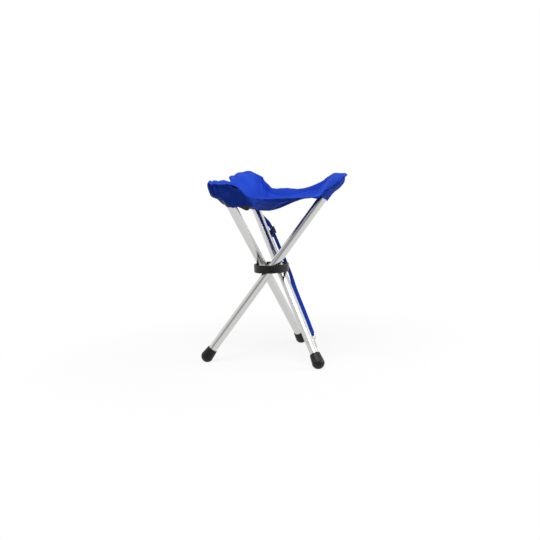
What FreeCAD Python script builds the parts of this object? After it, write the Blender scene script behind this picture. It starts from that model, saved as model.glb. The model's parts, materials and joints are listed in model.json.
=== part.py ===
import FreeCAD, Part
import math
import os

from FreeCAD import Matrix, Placement, Vector

# A folding tripod stool. Three tubes cross inside a moulded ring, and each turns on a radial rivet there.
# Their tops stand in pockets under the corners of a sling seat. Millimetres and degrees.
# The origin is on the floor under the middle of the ring, and +Z is up.

# Legs
PIVOT_AZIMUTH = {"a": -90.0, "c": 30.0, "b": 150.0}
STRAP_LEG = "c"
TUBE_OD = 22.0
TUBE_WALL = 1.5
LEG_UPPER = 270.0  # pivot to the tube's top end
LEG_LOWER = 279.0  # pivot to the tube's bottom end
LEG_LEAN = 38.5  # each tube's lean from upright when the stool stands open
PIVOT_RADIUS = 22.7  # middle of the ring to each tube's axis

# Clearances
RUN_CLEARANCE = 0.05  # rivet shank in a turning hole, on the radius
PIVOT_PLAY = 0.3  # between faces that turn past each other
CLOTH_GAP = 0.4  # between a tube and the cloth round it, and between cloth and cloth

# Ring
RING_WALL = 4.0
RING_HEIGHT = 20.0
RING_EDGE = 1.2  # rounding of the ring's rims
BOSS_DEPTH = 3.8  # flat seat inside the ring, inwards from its inner wall
BOSS_WIDTH = 26.0
BOSS_ROUND = 2.0

# Pivots
RIVET_D = 6.0
RIVET_HEAD_D = 10.0
RIVET_HEAD_H = 1.9
HEAD_RECESS = 0.4  # how far the head lies below the ring's outside
HEAD_ROOM = 0.6  # room round the head in its recess
TAIL_D = 9.0
TAIL_H = 2.0
WASHER_OD = 12.0
WASHER_T = 1.0
SADDLE_T = 2.2  # at its thinnest, over the tube's crown
SADDLE_OD = 17.0

# Feet
FOOT_GRIP = 26.0  # length of tube inside the foot
FOOT_RIM_OD = 26.0
FOOT_RIM_ROUND = 1.4
FOOT_MAX_OD = 31.0
FOOT_FLARE = 25.0  # rim to the widest place
FOOT_DOME = 14.0  # widest place to the tip
FOOT_FLAT = 1.0  # depth of the flat that stands on the floor

# Tube top plugs
PLUG_STEM = 15.0
PLUG_WALL = 1.6
PLUG_CROWN = 3.0

# Pockets under the seat's corners: an almond-shaped sleeve, and a cover over its outer side
POCKET_LENGTH = 70.0
POCKET_WIDTH = 44.0
POCKET_T = 1.2
POCKET_SEAM = 3.6  # width of the sewn sides
COVER_SHORT = 8.0  # how far the cover's mouth lies above the pocket's
COVER_NARROW = 2.0  # how much narrower the cover is than the pocket
COVER_T = 1.0

# Sling seat
SEAT_T = 1.6
SEAT_SAG = 64.0  # tube tops down to the seat's middle
EDGE_RISE = 34.0  # the middle up to the middle of an edge, along the dish
CORNER_RISE = {"a": 50.0, "b": 27.0, "c": 40.0}  # the middle up to each corner's tip, along the dish
EDGE_RADIUS = 75.0  # middle of the seat to the middle of an edge
EDGE_BOW = 7.5  # how far each half of an edge is cut in from a straight line
NECK_BACK = 44.5  # tube's top back to where a corner meets the edges beside it
NECK_HALF = 44.0  # half the width of the seat there
EAR_REACH = 28.0  # how far a corner reaches past the tube's top
EAR_HALF = 42.0  # half the width of a corner, and the size of its round end
EAR_TURN = 80.0  # how far round the corner's round end goes on each side
EAR_BOW = 1.4  # how far a corner's sides are cut in
EAR_PAST = 5.0  # how far past a pocket's end a corner turns level
SEAT_SOFT = 2.5  # softness of the turn up at the pocket's mouth, and of the turn level past its end
# The hem's height over the tube tops: clockwise of each corner's tip, at it, and counter-clockwise of it.
# Each side goes from the tip towards the edge: round end, shoulder, side, neck, quarter of the edge.
HEM_RISE = {
    "a": ((9, -11, -27, -36, -32), 14, (15, 13, 6, -4, -18)),
    "c": ((25, 15, 7, -3, -16), 26, (15, 13, -1, -12, -22)),
    "b": ((0, -16, -26, -30, -28), 14, (14, 1, -10, -22, -30)),
}
EDGE_RISE_AT_HEM = {"ba": -27, "ac": -17, "cb": -22}  # the same for the middle of each edge
HEM_FADE = 20.0  # distance from the hem over which its own height fades into the dish
SEAT_GAP = 2.2  # between the seat and the pockets under it
SEAT_RINGS = 14  # rings of arcs from the seat's middle to its hem
LOFT_DEGREE = 3

# Carry strap, in the frame of the leg that carries it
STRAP_WIDTH = 15.0
STRAP_T = 1.5
STRAP_CLEAR = 0.6  # between the strap and the ring's outside
STRAP_RUN = 26.0  # the strap runs straight past the ring this far above and below the pivot
STRAP_TURN = 128.0  # height above the pivot where the strap starts to turn round the tube
STRAP_TURN_OUT = 20.4  # its distance from the tube's axis there
STRAP_SEWN = 7.0  # length sewn to the pocket, below the cover's mouth
STRAP_TAIL = 24.0  # length turned back at the lower end
TAIL_SEWN = 12.0  # how much of that is sewn to the strap
STRAP_QUARTER = 90.0  # how far it turns round the tube, from the outside to the underside
STRAP_STEPS = 6  # steps of that turn

# Strap slider
SLIDER_AT = 106.0
SLIDER_LENGTH = 20.0
SLIDER_RAIL = 3.0
SLIDER_BAR = 3.2
SLIDER_BAR_T = 1.7
SLIDER_PLAY = 0.4

# Strap ring and bracket near the foot
LOOP_WIRE = 2.4
LOOP_OUT = 15.2  # tube axis to the middle of the wire
LOOP_ABOVE_END = 76.0  # tube's bottom end up to the loop's upper bar
LOOP_HEIGHT = 10.0  # upper bar to lower bar
LOOP_ROUND = 2.0
LOOP_PLAY = 0.1  # between the wire and the strap round it
BRACKET_T = 1.0
BRACKET_WIDTH = 9.0
BRACKET_PLATE = 20.0  # length of the part that lies on the tube
BRACKET_RIVET_AT = 12.0  # the rivet, down from the top of that part
BRACKET_NECK = 4.0  # length of the part that bends out to the loop
BRACKET_PLAY = 0.15
BRACKET_RIVET_D = 4.0
BRACKET_HEAD_D = 7.0
BRACKET_HEAD_H = 1.6

# What follows from the sizes above
LEAN = math.radians(LEG_LEAN)
TUBE_R = TUBE_OD / 2
BOSS_FACE = PIVOT_RADIUS + TUBE_R + SADDLE_T + PIVOT_PLAY
RING_INNER = BOSS_FACE + BOSS_DEPTH
RING_OUTER = RING_INNER + RING_WALL
FOOT_DOME_R = ((FOOT_MAX_OD / 2) ** 2 + FOOT_DOME**2) / (2 * FOOT_DOME)
FOOT_RIM_AT = FOOT_GRIP - LEG_LOWER
FOOT_TIP_AT = FOOT_RIM_AT - FOOT_FLARE - FOOT_DOME
HUB_HEIGHT = FOOT_DOME_R - FOOT_FLAT - (FOOT_TIP_AT + FOOT_DOME_R) * math.cos(LEAN)
TUBE_TOP = HUB_HEIGHT + LEG_UPPER * math.cos(LEAN)
LOOP_AT = LEG_LOWER - LOOP_ABOVE_END
POCKET_END = LEG_UPPER + PLUG_CROWN + CLOTH_GAP + POCKET_T
POCKET_DEEP = TUBE_R + CLOTH_GAP + POCKET_T  # tube axis to the pocket's outside, over the tube
COVER_DEEP = POCKET_DEEP + CLOTH_GAP + COVER_T
COVER_LENGTH = POCKET_LENGTH - COVER_SHORT
COVER_WIDTH = POCKET_WIDTH - COVER_NARROW
STRAP_FACE = RING_OUTER - PIVOT_RADIUS + STRAP_CLEAR  # tube axis to the strap's inner face at the ring

UP = Vector(0, 0, 1)


def ring_frame(azimuth):
    """The ring's frame turned so that x points out through one pivot."""
    return Placement(Vector(0, 0, HUB_HEIGHT), FreeCAD.Rotation(UP, azimuth))


def leg_frame(azimuth):
    """A standing leg's frame from its pivot: x out of the ring, y down the lean, z up the tube."""
    turn = math.radians(azimuth)
    out = Vector(math.cos(turn), math.sin(turn), 0)
    along = Vector(-math.sin(turn), math.cos(turn), 0)
    axis = along * math.sin(LEAN) + UP * math.cos(LEAN)
    side = axis.cross(out)
    pivot = out * PIVOT_RADIUS + UP * HUB_HEIGHT
    return Placement(
        Matrix(
            out.x, side.x, axis.x, pivot.x,
            out.y, side.y, axis.y, pivot.y,
            out.z, side.z, axis.z, pivot.z,
            0, 0, 0, 1,
        )
    )


def placed(shape, frame):
    moved = shape.copy()
    moved.Placement = frame.multiply(shape.Placement)
    return moved


def save(name, shape):
    shape.exportStep(f"parts/{name}.step")


def line(start, end):
    return Part.makeLine(start, end)


def arc(start, through, end):
    return Part.Arc(start, through, end).toShape()


def box(low, high):
    return Part.makeBox(high[0] - low[0], high[1] - low[1], high[2] - low[2], Vector(*low))


def rod(radius, start, end):
    """A round bar from one point to another."""
    axis = end - start
    return Part.makeCylinder(radius, axis.Length, start, axis)


def pipe(outer, inner, start, end):
    return rod(outer, start, end).cut(rod(inner, start, end))


def turned(edges, axis):
    """A solid of revolution about an axis through the origin, from the edges of a closed half profile."""
    return Part.Face(Part.Wire(edges)).revolve(Vector(0, 0, 0), axis, 360)


def cap_point(rim_radius, height, share):
    """Radius and height on a shallow dome, at a share of the way from its rim to its crown."""
    sphere = (rim_radius**2 + height**2) / (2 * height)
    reach = math.asin(min(1.0, rim_radius / sphere))
    if height > sphere:
        reach = math.pi - reach
    angle = reach * (1 - share)
    return sphere * math.sin(angle), height - sphere * (1 - math.cos(angle))


def headed_pin(shank_r, tail_end, tail_r, tail_seat, head_seat, head_r, head_end):
    """A riveted pin along x: a domed tail, a plain shank and a domed head."""
    tail_mid = cap_point(tail_r, tail_seat - tail_end, 0.5)
    head_mid = cap_point(head_r, head_end - head_seat, 0.5)
    points = {
        "tail": Vector(tail_end, 0, 0),
        "tail_mid": Vector(tail_seat - tail_mid[1], tail_mid[0], 0),
        "tail_rim": Vector(tail_seat, tail_r, 0),
        "shank_in": Vector(tail_seat, shank_r, 0),
        "shank_out": Vector(head_seat, shank_r, 0),
        "head_rim": Vector(head_seat, head_r, 0),
        "head_mid": Vector(head_seat + head_mid[1], head_mid[0], 0),
        "head": Vector(head_end, 0, 0),
    }
    edges = [
        arc(points["tail"], points["tail_mid"], points["tail_rim"]),
        line(points["tail_rim"], points["shank_in"]),
        line(points["shank_in"], points["shank_out"]),
        line(points["shank_out"], points["head_rim"]),
        arc(points["head_rim"], points["head_mid"], points["head"]),
        line(points["head"], points["tail"]),
    ]
    return turned(edges, Vector(1, 0, 0))


# Ring: a plain band with three flat seats inside, one for each tube
def hub_ring():
    half = RING_HEIGHT / 2
    band = pipe(RING_OUTER, RING_INNER, Vector(0, 0, -half), Vector(0, 0, half))
    band = band.makeFillet(RING_EDGE, [e for e in band.Edges if e.Closed])
    seat_half = half - RING_EDGE
    mid_wall = RING_INNER + RING_WALL / 2
    core = rod(mid_wall, Vector(0, 0, -half), Vector(0, 0, half))
    hole_r = RIVET_D / 2
    recess_at = RING_OUTER - RIVET_HEAD_H - HEAD_RECESS
    for azimuth in PIVOT_AZIMUTH.values():
        turn = Placement(Vector(0, 0, 0), FreeCAD.Rotation(UP, azimuth))
        boss = box((BOSS_FACE, -BOSS_WIDTH / 2, -seat_half), (mid_wall, BOSS_WIDTH / 2, seat_half))
        corners = [
            e
            for e in boss.Edges
            if all(abs(v.X - BOSS_FACE) < 1e-6 for v in e.Vertexes) and abs(e.tangentAt(0).z) > 0.5
        ]
        boss = boss.makeFillet(BOSS_ROUND, corners).common(core)
        band = band.fuse(placed(boss, turn))
        hole = rod(hole_r, Vector(0, 0, 0), Vector(2 * RING_OUTER, 0, 0))
        recess = rod(RIVET_HEAD_D / 2 + HEAD_ROOM, Vector(recess_at, 0, 0), Vector(2 * RING_OUTER, 0, 0))
        band = band.cut(placed(hole.fuse(recess), turn))
    return placed(band.removeSplitter(), ring_frame(0))


# Pivots: a rivet and its washer stay with the ring, and a saddle turns with the tube
def pivot_rivet(azimuth):
    head_seat = RING_OUTER - RIVET_HEAD_H - HEAD_RECESS
    tail_seat = PIVOT_RADIUS - TUBE_R - PIVOT_PLAY - WASHER_T
    pin = headed_pin(
        RIVET_D / 2,
        tail_seat - TAIL_H,
        TAIL_D / 2,
        tail_seat,
        head_seat,
        RIVET_HEAD_D / 2,
        head_seat + RIVET_HEAD_H,
    )
    return placed(pin, ring_frame(azimuth))


def pivot_washer(azimuth):
    outer = PIVOT_RADIUS - TUBE_R - PIVOT_PLAY
    ends = Vector(outer - WASHER_T, 0, 0), Vector(outer, 0, 0)
    return placed(pipe(WASHER_OD / 2, RIVET_D / 2 + RUN_CLEARANCE, *ends), ring_frame(azimuth))


def pivot_saddle(azimuth):
    block = rod(SADDLE_OD / 2, Vector(0, 0, 0), Vector(TUBE_R + SADDLE_T, 0, 0))
    tube = rod(TUBE_R, Vector(0, 0, -SADDLE_OD), Vector(0, 0, SADDLE_OD))
    hole = rod(RIVET_D / 2 + RUN_CLEARANCE, Vector(0, 0, 0), Vector(PIVOT_RADIUS + RING_OUTER, 0, 0))
    return placed(block.cut(tube).cut(hole), leg_frame(azimuth))


# Leg tube, foot and top plug
def leg_tube(azimuth, carries_strap):
    tube = pipe(TUBE_R, TUBE_R - TUBE_WALL, Vector(0, 0, -LEG_LOWER), Vector(0, 0, LEG_UPPER))
    across = Vector(TUBE_OD, 0, 0)
    tube = tube.cut(rod(RIVET_D / 2 + RUN_CLEARANCE, across * -1, across))
    if carries_strap:
        height = Vector(0, 0, bracket_rivet_height())
        tube = tube.cut(rod(BRACKET_RIVET_D / 2, height, height + across))
    return placed(tube, leg_frame(azimuth))


def foot(azimuth):
    rim_r = FOOT_RIM_OD / 2
    wide_r = FOOT_MAX_OD / 2
    wide_at = FOOT_RIM_AT - FOOT_FLARE
    rim_mid = FOOT_RIM_ROUND * (1 - math.sqrt(0.5))
    dome_mid = cap_point(wide_r, FOOT_DOME, 0.5)
    socket_top = Vector(TUBE_R, 0, FOOT_RIM_AT)
    socket_floor = Vector(TUBE_R, 0, -LEG_LOWER)
    middle = Vector(0, 0, -LEG_LOWER)
    rim_in = Vector(rim_r - FOOT_RIM_ROUND, 0, FOOT_RIM_AT)
    rim_turn = Vector(rim_r - rim_mid, 0, FOOT_RIM_AT - rim_mid)
    rim_out = Vector(rim_r, 0, FOOT_RIM_AT - FOOT_RIM_ROUND)
    widest = Vector(wide_r, 0, wide_at)
    on_dome = Vector(dome_mid[0], 0, wide_at - dome_mid[1])
    tip = Vector(0, 0, FOOT_TIP_AT)
    edges = [
        line(middle, socket_floor),
        line(socket_floor, socket_top),
        line(socket_top, rim_in),
        arc(rim_in, rim_turn, rim_out),
        line(rim_out, widest),
        arc(widest, on_dome, tip),
        line(tip, middle),
    ]
    boot = placed(turned(edges, UP), leg_frame(azimuth))
    reach = LEG_LOWER + FOOT_MAX_OD
    below = box((-reach, -reach, -FOOT_MAX_OD), (reach, reach, 0))
    return boot.cut(below)


def top_plug(azimuth):
    stem_r = TUBE_R - TUBE_WALL
    inner_r = stem_r - PLUG_WALL
    crown_mid = cap_point(TUBE_R, PLUG_CROWN, 0.5)
    top = LEG_UPPER + PLUG_CROWN
    hollow_top = LEG_UPPER - PLUG_WALL
    foot_at = LEG_UPPER - PLUG_STEM
    points = [
        Vector(0, 0, hollow_top),
        Vector(inner_r, 0, hollow_top),
        Vector(inner_r, 0, foot_at),
        Vector(stem_r, 0, foot_at),
        Vector(stem_r, 0, LEG_UPPER),
        Vector(TUBE_R, 0, LEG_UPPER),
    ]
    edges = [line(points[i], points[i + 1]) for i in range(len(points) - 1)]
    on_crown = Vector(crown_mid[0], 0, LEG_UPPER + crown_mid[1])
    edges.append(arc(points[-1], on_crown, Vector(0, 0, top)))
    edges.append(line(Vector(0, 0, top), points[0]))
    return placed(turned(edges, UP), leg_frame(azimuth))


# Pockets: two curved layers sewn together along their sides, closed at the top and open at the bottom
def almond(half_width, depth, height):
    """An almond-shaped face: two shallow arcs that meet at the sewn sides."""
    left = Vector(-half_width, 0, height)
    right = Vector(half_width, 0, height)
    front = arc(left, Vector(0, depth, height), right)
    back = arc(right, Vector(0, -depth, height), left)
    return Part.Face(Part.Wire([front, back]))


def corner_pocket(azimuth):
    half = POCKET_WIDTH / 2
    mouth = POCKET_END - POCKET_LENGTH
    outside = almond(half, POCKET_DEEP, mouth).extrude(UP * POCKET_LENGTH)
    room = almond(half - POCKET_SEAM, POCKET_DEEP - POCKET_T, mouth)
    inside = room.extrude(UP * (POCKET_LENGTH - POCKET_T))
    return placed(outside.cut(inside), leg_frame(azimuth))


def pocket_cover(azimuth):
    """A curved layer over the pocket's outer side, from its own mouth to the pocket's end."""
    mouth = POCKET_END - COVER_LENGTH
    inner_depth = POCKET_DEEP + CLOTH_GAP
    sphere = ((POCKET_WIDTH / 2) ** 2 + inner_depth**2) / (2 * inner_depth)
    centre = Vector(0, inner_depth - sphere, mouth)
    shell = pipe(sphere + COVER_T, sphere, centre, centre + UP * COVER_LENGTH)
    half = COVER_WIDTH / 2
    window = box((-half, 0, mouth), (half, 2 * COVER_DEEP, mouth + COVER_LENGTH))
    return placed(shell.common(window), leg_frame(azimuth))


# Sling seat: a loft through rings of arcs, from a small flat at its middle to its hem
TIP_ALONG = LEG_UPPER * math.sin(LEAN)
TIP_RADIUS = math.hypot(TIP_ALONG, PIVOT_RADIUS)
TIP_TURN = math.degrees(math.atan2(TIP_ALONG, PIVOT_RADIUS))
SECTOR = math.pi / len(PIVOT_AZIMUTH)
FLAT_SHARE = 1 / SEAT_RINGS  # the first ring, round the flat at the middle
OVER_POCKET = POCKET_DEEP + SEAT_GAP  # tube axis to the seat's underside, over the pocket
LEVEL_AT = POCKET_END * math.sin(LEAN) - OVER_POCKET * math.cos(LEAN) + EAR_PAST


def soft_ramp(distance, softness):
    """Zero before a turn and the distance past it after, with a soft bend between."""
    return softness * math.log1p(math.exp(distance / softness))


def smooth_step(value):
    return value * value * (3 - 2 * value)


def plain_height(corner, spot, reach):
    """Height of the seat's top at a spot without its hem: a dish that turns up along the pocket."""
    along, aside = spot
    to_tip = smooth_step(1 - abs(math.atan2(aside, along)) / SECTOR)
    dish = TUBE_TOP - SEAT_SAG + (1 - to_tip) * EDGE_RISE * reach**2 + to_tip * CORNER_RISE[corner] * reach
    run = (along * TIP_ALONG + aside * PIVOT_RADIUS) / TIP_RADIUS
    climb = (run - soft_ramp(run - LEVEL_AT, SEAT_SOFT)) / math.tan(LEAN)
    over_pocket = HUB_HEIGHT + OVER_POCKET / math.sin(LEAN) + SEAT_T + climb
    return dish + soft_ramp(over_pocket - dish, SEAT_SOFT)


def seat_height(corner, stop, rise, share):
    """Height of the seat's top at a share of the way out to a stop on the hem."""
    reach = (share - FLAT_SHARE) / (1 - FLAT_SHARE)
    spot = (share * stop[0], share * stop[1])
    lift = TUBE_TOP + rise - plain_height(corner, stop, 1.0)
    return plain_height(corner, spot, reach) + lift * reach ** (math.hypot(*stop) / HEM_FADE)


def half_outline():
    """Half a corner's outline as spots along and across it, from its tip to the middle of an edge."""
    tip = TIP_RADIUS + EAR_REACH
    neck = TIP_RADIUS - NECK_BACK
    turns = [math.radians(EAR_TURN * share) for share in (0.5, 1.0)]
    round_mid, round_end = [(tip - EAR_HALF * (1 - math.cos(t)), EAR_HALF * math.sin(t)) for t in turns]
    side_mid = ((round_end[0] + neck) / 2, (round_end[1] + NECK_HALF) / 2 - EAR_BOW)
    mid_edge = (EDGE_RADIUS * math.cos(SECTOR), EDGE_RADIUS * math.sin(SECTOR))
    edge_mid = ((neck + mid_edge[0]) / 2, (NECK_HALF + mid_edge[1]) / 2 - EDGE_BOW)
    return [(tip, 0.0), round_mid, round_end, side_mid, (neck, NECK_HALF), edge_mid, mid_edge]


def corner_stops(before, corner):
    """One corner's hem, counter-clockwise from the middle of the edge before it: spots and their rise."""
    outline = half_outline()
    clockwise, tip, counter = HEM_RISE[corner]
    first_half = [(along, -across) for along, across in reversed(outline[1:])]
    rises = [EDGE_RISE_AT_HEM[before + corner], *reversed(clockwise), tip, *counter]
    return list(zip(first_half + outline[:-1], rises))


def seat_ring(share, lift):
    """One closed ring of arcs on the seat, at a share of the way from its middle to its hem."""
    order = list(PIVOT_AZIMUTH)
    points = []
    for i, corner in enumerate(order):
        turn = math.radians(PIVOT_AZIMUTH[corner] + TIP_TURN)
        out = Vector(math.cos(turn), math.sin(turn), 0)
        side = Vector(-math.sin(turn), math.cos(turn), 0)
        for stop, rise in corner_stops(order[i - 1], corner):
            height = seat_height(corner, stop, rise, share) + lift
            points.append(out * (share * stop[0]) + side * (share * stop[1]) + UP * height)
    ends = points[2::2] + points[:1]
    return Part.Wire([arc(*stretch) for stretch in zip(points[::2], points[1::2], ends)])


def seat_panel():
    shares = [(i + 1) / SEAT_RINGS for i in range(SEAT_RINGS)]
    under = [seat_ring(share, -SEAT_T) for share in shares]
    over = [seat_ring(share, 0.0) for share in shares]
    faces = [Part.Face(under[0]), Part.Face(over[0])]
    for rings in (under, over):
        faces += Part.makeLoft(rings, False, False, False, LOFT_DEGREE).Faces
    faces += Part.makeLoft([under[-1], over[-1]], False, True).Faces
    shell = Part.makeShell(faces)
    shell.sewShape()
    cloth = Part.Solid(shell)
    if cloth.Volume < 0:
        cloth.reverse()
    return cloth


# Carry strap, its slider, and the loop and bracket that hold its lower end
def bracket_rivet_height():
    return -(LOOP_AT + LOOP_HEIGHT + BRACKET_NECK + BRACKET_RIVET_AT)


def strap_line():
    """The strap's middle line as (out, height), from its loop to where it turns round the tube."""
    half = STRAP_T / 2
    return [
        (LOOP_OUT + LOOP_WIRE / 2 + LOOP_PLAY + half, -LOOP_AT),
        (STRAP_FACE + half, -STRAP_RUN),
        (STRAP_FACE + half, STRAP_RUN),
        (STRAP_TURN_OUT + half, STRAP_TURN),
    ]


def ribbon(points, width):
    """A flat band across y whose edge is a closed outline of (x, z) points."""
    corners = [Vector(x, -width / 2, z) for x, z in points]
    wire = Part.makePolygon(corners + corners[:1])
    return Part.Face(wire).extrude(Vector(0, width, 0))


def strap_section(out, height, turn):
    """The strap's cross-section at a height, facing outwards after a turn round the tube."""
    angle = math.radians(turn)
    away = Vector(math.cos(angle), math.sin(angle), 0)
    face = away * (STRAP_T / 2)
    wide = Vector(-math.sin(angle), math.cos(angle), 0) * (STRAP_WIDTH / 2)
    middle = away * out + UP * height
    corners = [middle - face - wide, middle + face - wide, middle + face + wide, middle - face + wide]
    return Part.makePolygon(corners + corners[:1])


def carry_strap(azimuth):
    half = STRAP_T / 2
    path = strap_line()
    outline = [(x - half, z) for x, z in path] + [(x + half, z) for x, z in reversed(path)]
    band = ribbon(outline, STRAP_WIDTH)
    sewn_at = POCKET_END - POCKET_LENGTH
    start_out, start_height = path[-1]
    end_out = POCKET_DEEP + half
    sections = []
    for i in range(STRAP_STEPS + 1):
        share = i / STRAP_STEPS
        out = start_out + share * (end_out - start_out)
        height = start_height + share * (sewn_at - start_height)
        sections.append(strap_section(out, height, STRAP_QUARTER * share))
    upper = Part.makeLoft(sections, True, True)
    sewn = Part.Face(sections[-1]).extrude(UP * STRAP_SEWN)
    turn_r = LOOP_WIRE / 2 + LOOP_PLAY
    bar = Vector(LOOP_OUT, -STRAP_WIDTH / 2, -LOOP_AT)
    turn = pipe(turn_r + STRAP_T, turn_r, bar, bar + Vector(0, STRAP_WIDTH, 0))
    lower_half = box(
        (LOOP_OUT - LOOP_WIRE - STRAP_T, -STRAP_WIDTH, -LOOP_AT - LOOP_WIRE - STRAP_T),
        (LOOP_OUT + LOOP_WIRE + STRAP_T, STRAP_WIDTH, -LOOP_AT),
    )
    slope = (path[1][0] - path[0][0]) / (path[1][1] - path[0][1])
    tail_in = LOOP_OUT - turn_r
    tail_heights = (STRAP_TAIL - TAIL_SEWN, STRAP_TAIL)
    meets, ends = [(path[0][0] - half + slope * up, up - LOOP_AT) for up in tail_heights]
    tail = ribbon(
        [
            (tail_in - STRAP_T, -LOOP_AT),
            (tail_in, -LOOP_AT),
            meets,
            ends,
            (ends[0] - STRAP_T, ends[1]),
            (meets[0] - STRAP_T, meets[1]),
        ],
        STRAP_WIDTH,
    )
    strap = band.fuse([upper, sewn, turn.common(lower_half), tail]).removeSplitter()
    return placed(strap, leg_frame(azimuth))


def slider_frame(azimuth):
    """The slider's frame on the strap: x off the strap's outer face, y across it, z up along it."""
    (low_out, low), (high_out, high) = strap_line()[2:]
    tilt = math.degrees(math.atan2(high_out - low_out, high - low))
    out = low_out + (high_out - low_out) * (SLIDER_AT - low) / (high - low)
    here = Placement(Vector(out, 0, SLIDER_AT), FreeCAD.Rotation(Vector(0, 1, 0), tilt))
    return leg_frame(azimuth).multiply(here)


def strap_slider(azimuth):
    inner = STRAP_T / 2 + SLIDER_PLAY
    outer = inner + SLIDER_BAR_T
    window = STRAP_WIDTH / 2 + SLIDER_PLAY
    rail = window + SLIDER_RAIL
    half = SLIDER_LENGTH / 2
    shapes = [box((inner, -rail, -SLIDER_BAR / 2), (outer, rail, SLIDER_BAR / 2))]
    for sign in (-1, 1):
        low, high = sorted((sign * window, sign * rail))
        shapes.append(box((-outer, low, -half), (outer, high, half)))
        low, high = sorted((sign * half, sign * (half - SLIDER_BAR)))
        shapes.append(box((-outer, -rail, low), (-inner, rail, high)))
    frame = shapes[0].fuse(shapes[1:]).removeSplitter()
    return placed(frame, slider_frame(azimuth))


def strap_ring(azimuth):
    wide = STRAP_WIDTH / 2 + SLIDER_PLAY + LOOP_ROUND
    top = -LOOP_AT
    low = top - LOOP_HEIGHT
    near = LOOP_ROUND * (1 - math.sqrt(0.5))

    def spot(y, z):
        return Vector(LOOP_OUT, y, z)

    path = Part.Wire(
        [
            line(spot(0, top), spot(wide - LOOP_ROUND, top)),
            arc(spot(wide - LOOP_ROUND, top), spot(wide - near, top - near), spot(wide, top - LOOP_ROUND)),
            line(spot(wide, top - LOOP_ROUND), spot(wide, low + LOOP_ROUND)),
            arc(spot(wide, low + LOOP_ROUND), spot(wide - near, low + near), spot(wide - LOOP_ROUND, low)),
            line(spot(wide - LOOP_ROUND, low), spot(0, low)),
        ]
    )
    section = Part.Wire(Part.makeCircle(LOOP_WIRE / 2, spot(0, top), Vector(0, 1, 0)))
    side = path.makePipeShell([section], True, False)
    other = side.mirror(Vector(0, 0, 0), Vector(0, 1, 0))
    return placed(side.fuse(other).removeSplitter(), leg_frame(azimuth))


def strap_bracket(azimuth):
    """A strip riveted to the tube, bent out and curled round the loop's lower bar."""
    low_bar = -(LOOP_AT + LOOP_HEIGHT)
    neck = low_bar - BRACKET_NECK
    curl_in = LOOP_WIRE / 2 + BRACKET_PLAY
    curl_out = curl_in + BRACKET_T
    half = BRACKET_WIDTH / 2
    plate = box((TUBE_R, -half, neck - BRACKET_PLATE), (TUBE_R + BRACKET_T, half, neck))
    bend = ribbon(
        [
            (TUBE_R, neck),
            (TUBE_R + BRACKET_T, neck),
            (LOOP_OUT - curl_in, low_bar),
            (LOOP_OUT - curl_out, low_bar),
        ],
        BRACKET_WIDTH,
    )
    bar = Vector(LOOP_OUT, -half, low_bar)
    curl = pipe(curl_out, curl_in, bar, bar + Vector(0, BRACKET_WIDTH, 0))
    bore = rod(curl_in, bar, bar + Vector(0, BRACKET_WIDTH, 0))
    height = Vector(0, 0, bracket_rivet_height())
    hole = rod(BRACKET_RIVET_D / 2, height, height + Vector(TUBE_OD, 0, 0))
    strip = plate.fuse([bend, curl]).cut(bore).cut(hole).removeSplitter()
    return placed(strip, leg_frame(azimuth))


def bracket_rivet(azimuth):
    seat = TUBE_R + BRACKET_T
    bore_r = TUBE_R - TUBE_WALL
    tail_seat = math.sqrt(bore_r**2 - (BRACKET_HEAD_D / 2) ** 2) - BRACKET_PLAY
    pin = headed_pin(
        BRACKET_RIVET_D / 2,
        tail_seat - BRACKET_HEAD_H,
        BRACKET_HEAD_D / 2,
        tail_seat,
        seat,
        BRACKET_HEAD_D / 2,
        seat + BRACKET_HEAD_H,
    )
    pin.translate(Vector(0, 0, bracket_rivet_height()))
    return placed(pin, leg_frame(azimuth))


os.makedirs("parts", exist_ok=True)
save("hub_ring", hub_ring())
save("seat_panel", seat_panel())
for leg, pivot_at in PIVOT_AZIMUTH.items():
    save(f"pivot_rivet_{leg}", pivot_rivet(pivot_at))
    save(f"pivot_washer_{leg}", pivot_washer(pivot_at))
    save(f"pivot_saddle_{leg}", pivot_saddle(pivot_at))
    save(f"leg_tube_{leg}", leg_tube(pivot_at, leg == STRAP_LEG))
    save(f"foot_{leg}", foot(pivot_at))
    save(f"top_plug_{leg}", top_plug(pivot_at))
    save(f"corner_pocket_{leg}", corner_pocket(pivot_at))
    save(f"pocket_cover_{leg}", pocket_cover(pivot_at))

strap_at = PIVOT_AZIMUTH[STRAP_LEG]
save("carry_strap", carry_strap(strap_at))
save("strap_slider", strap_slider(strap_at))
save("strap_ring", strap_ring(strap_at))
save("strap_bracket", strap_bracket(strap_at))
save("bracket_rivet", bracket_rivet(strap_at))
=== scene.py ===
# %% [markdown]
# # A folding tripod stool
#
# The stool has three aluminium tubes that cross in a black ring, a blue sling seat whose corners hold the
# tube tops, three rubber feet and a webbing strap for carrying it. The CAD model gives every rigid piece
# its true size and place. This lesson keeps those pieces, gives them finishes, and makes the cloth pieces
# anew.

# %% The CAD frame
import json
import math

import bmesh
import bpy
import numpy as np
from mathutils import Matrix, Vector, noise


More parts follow.
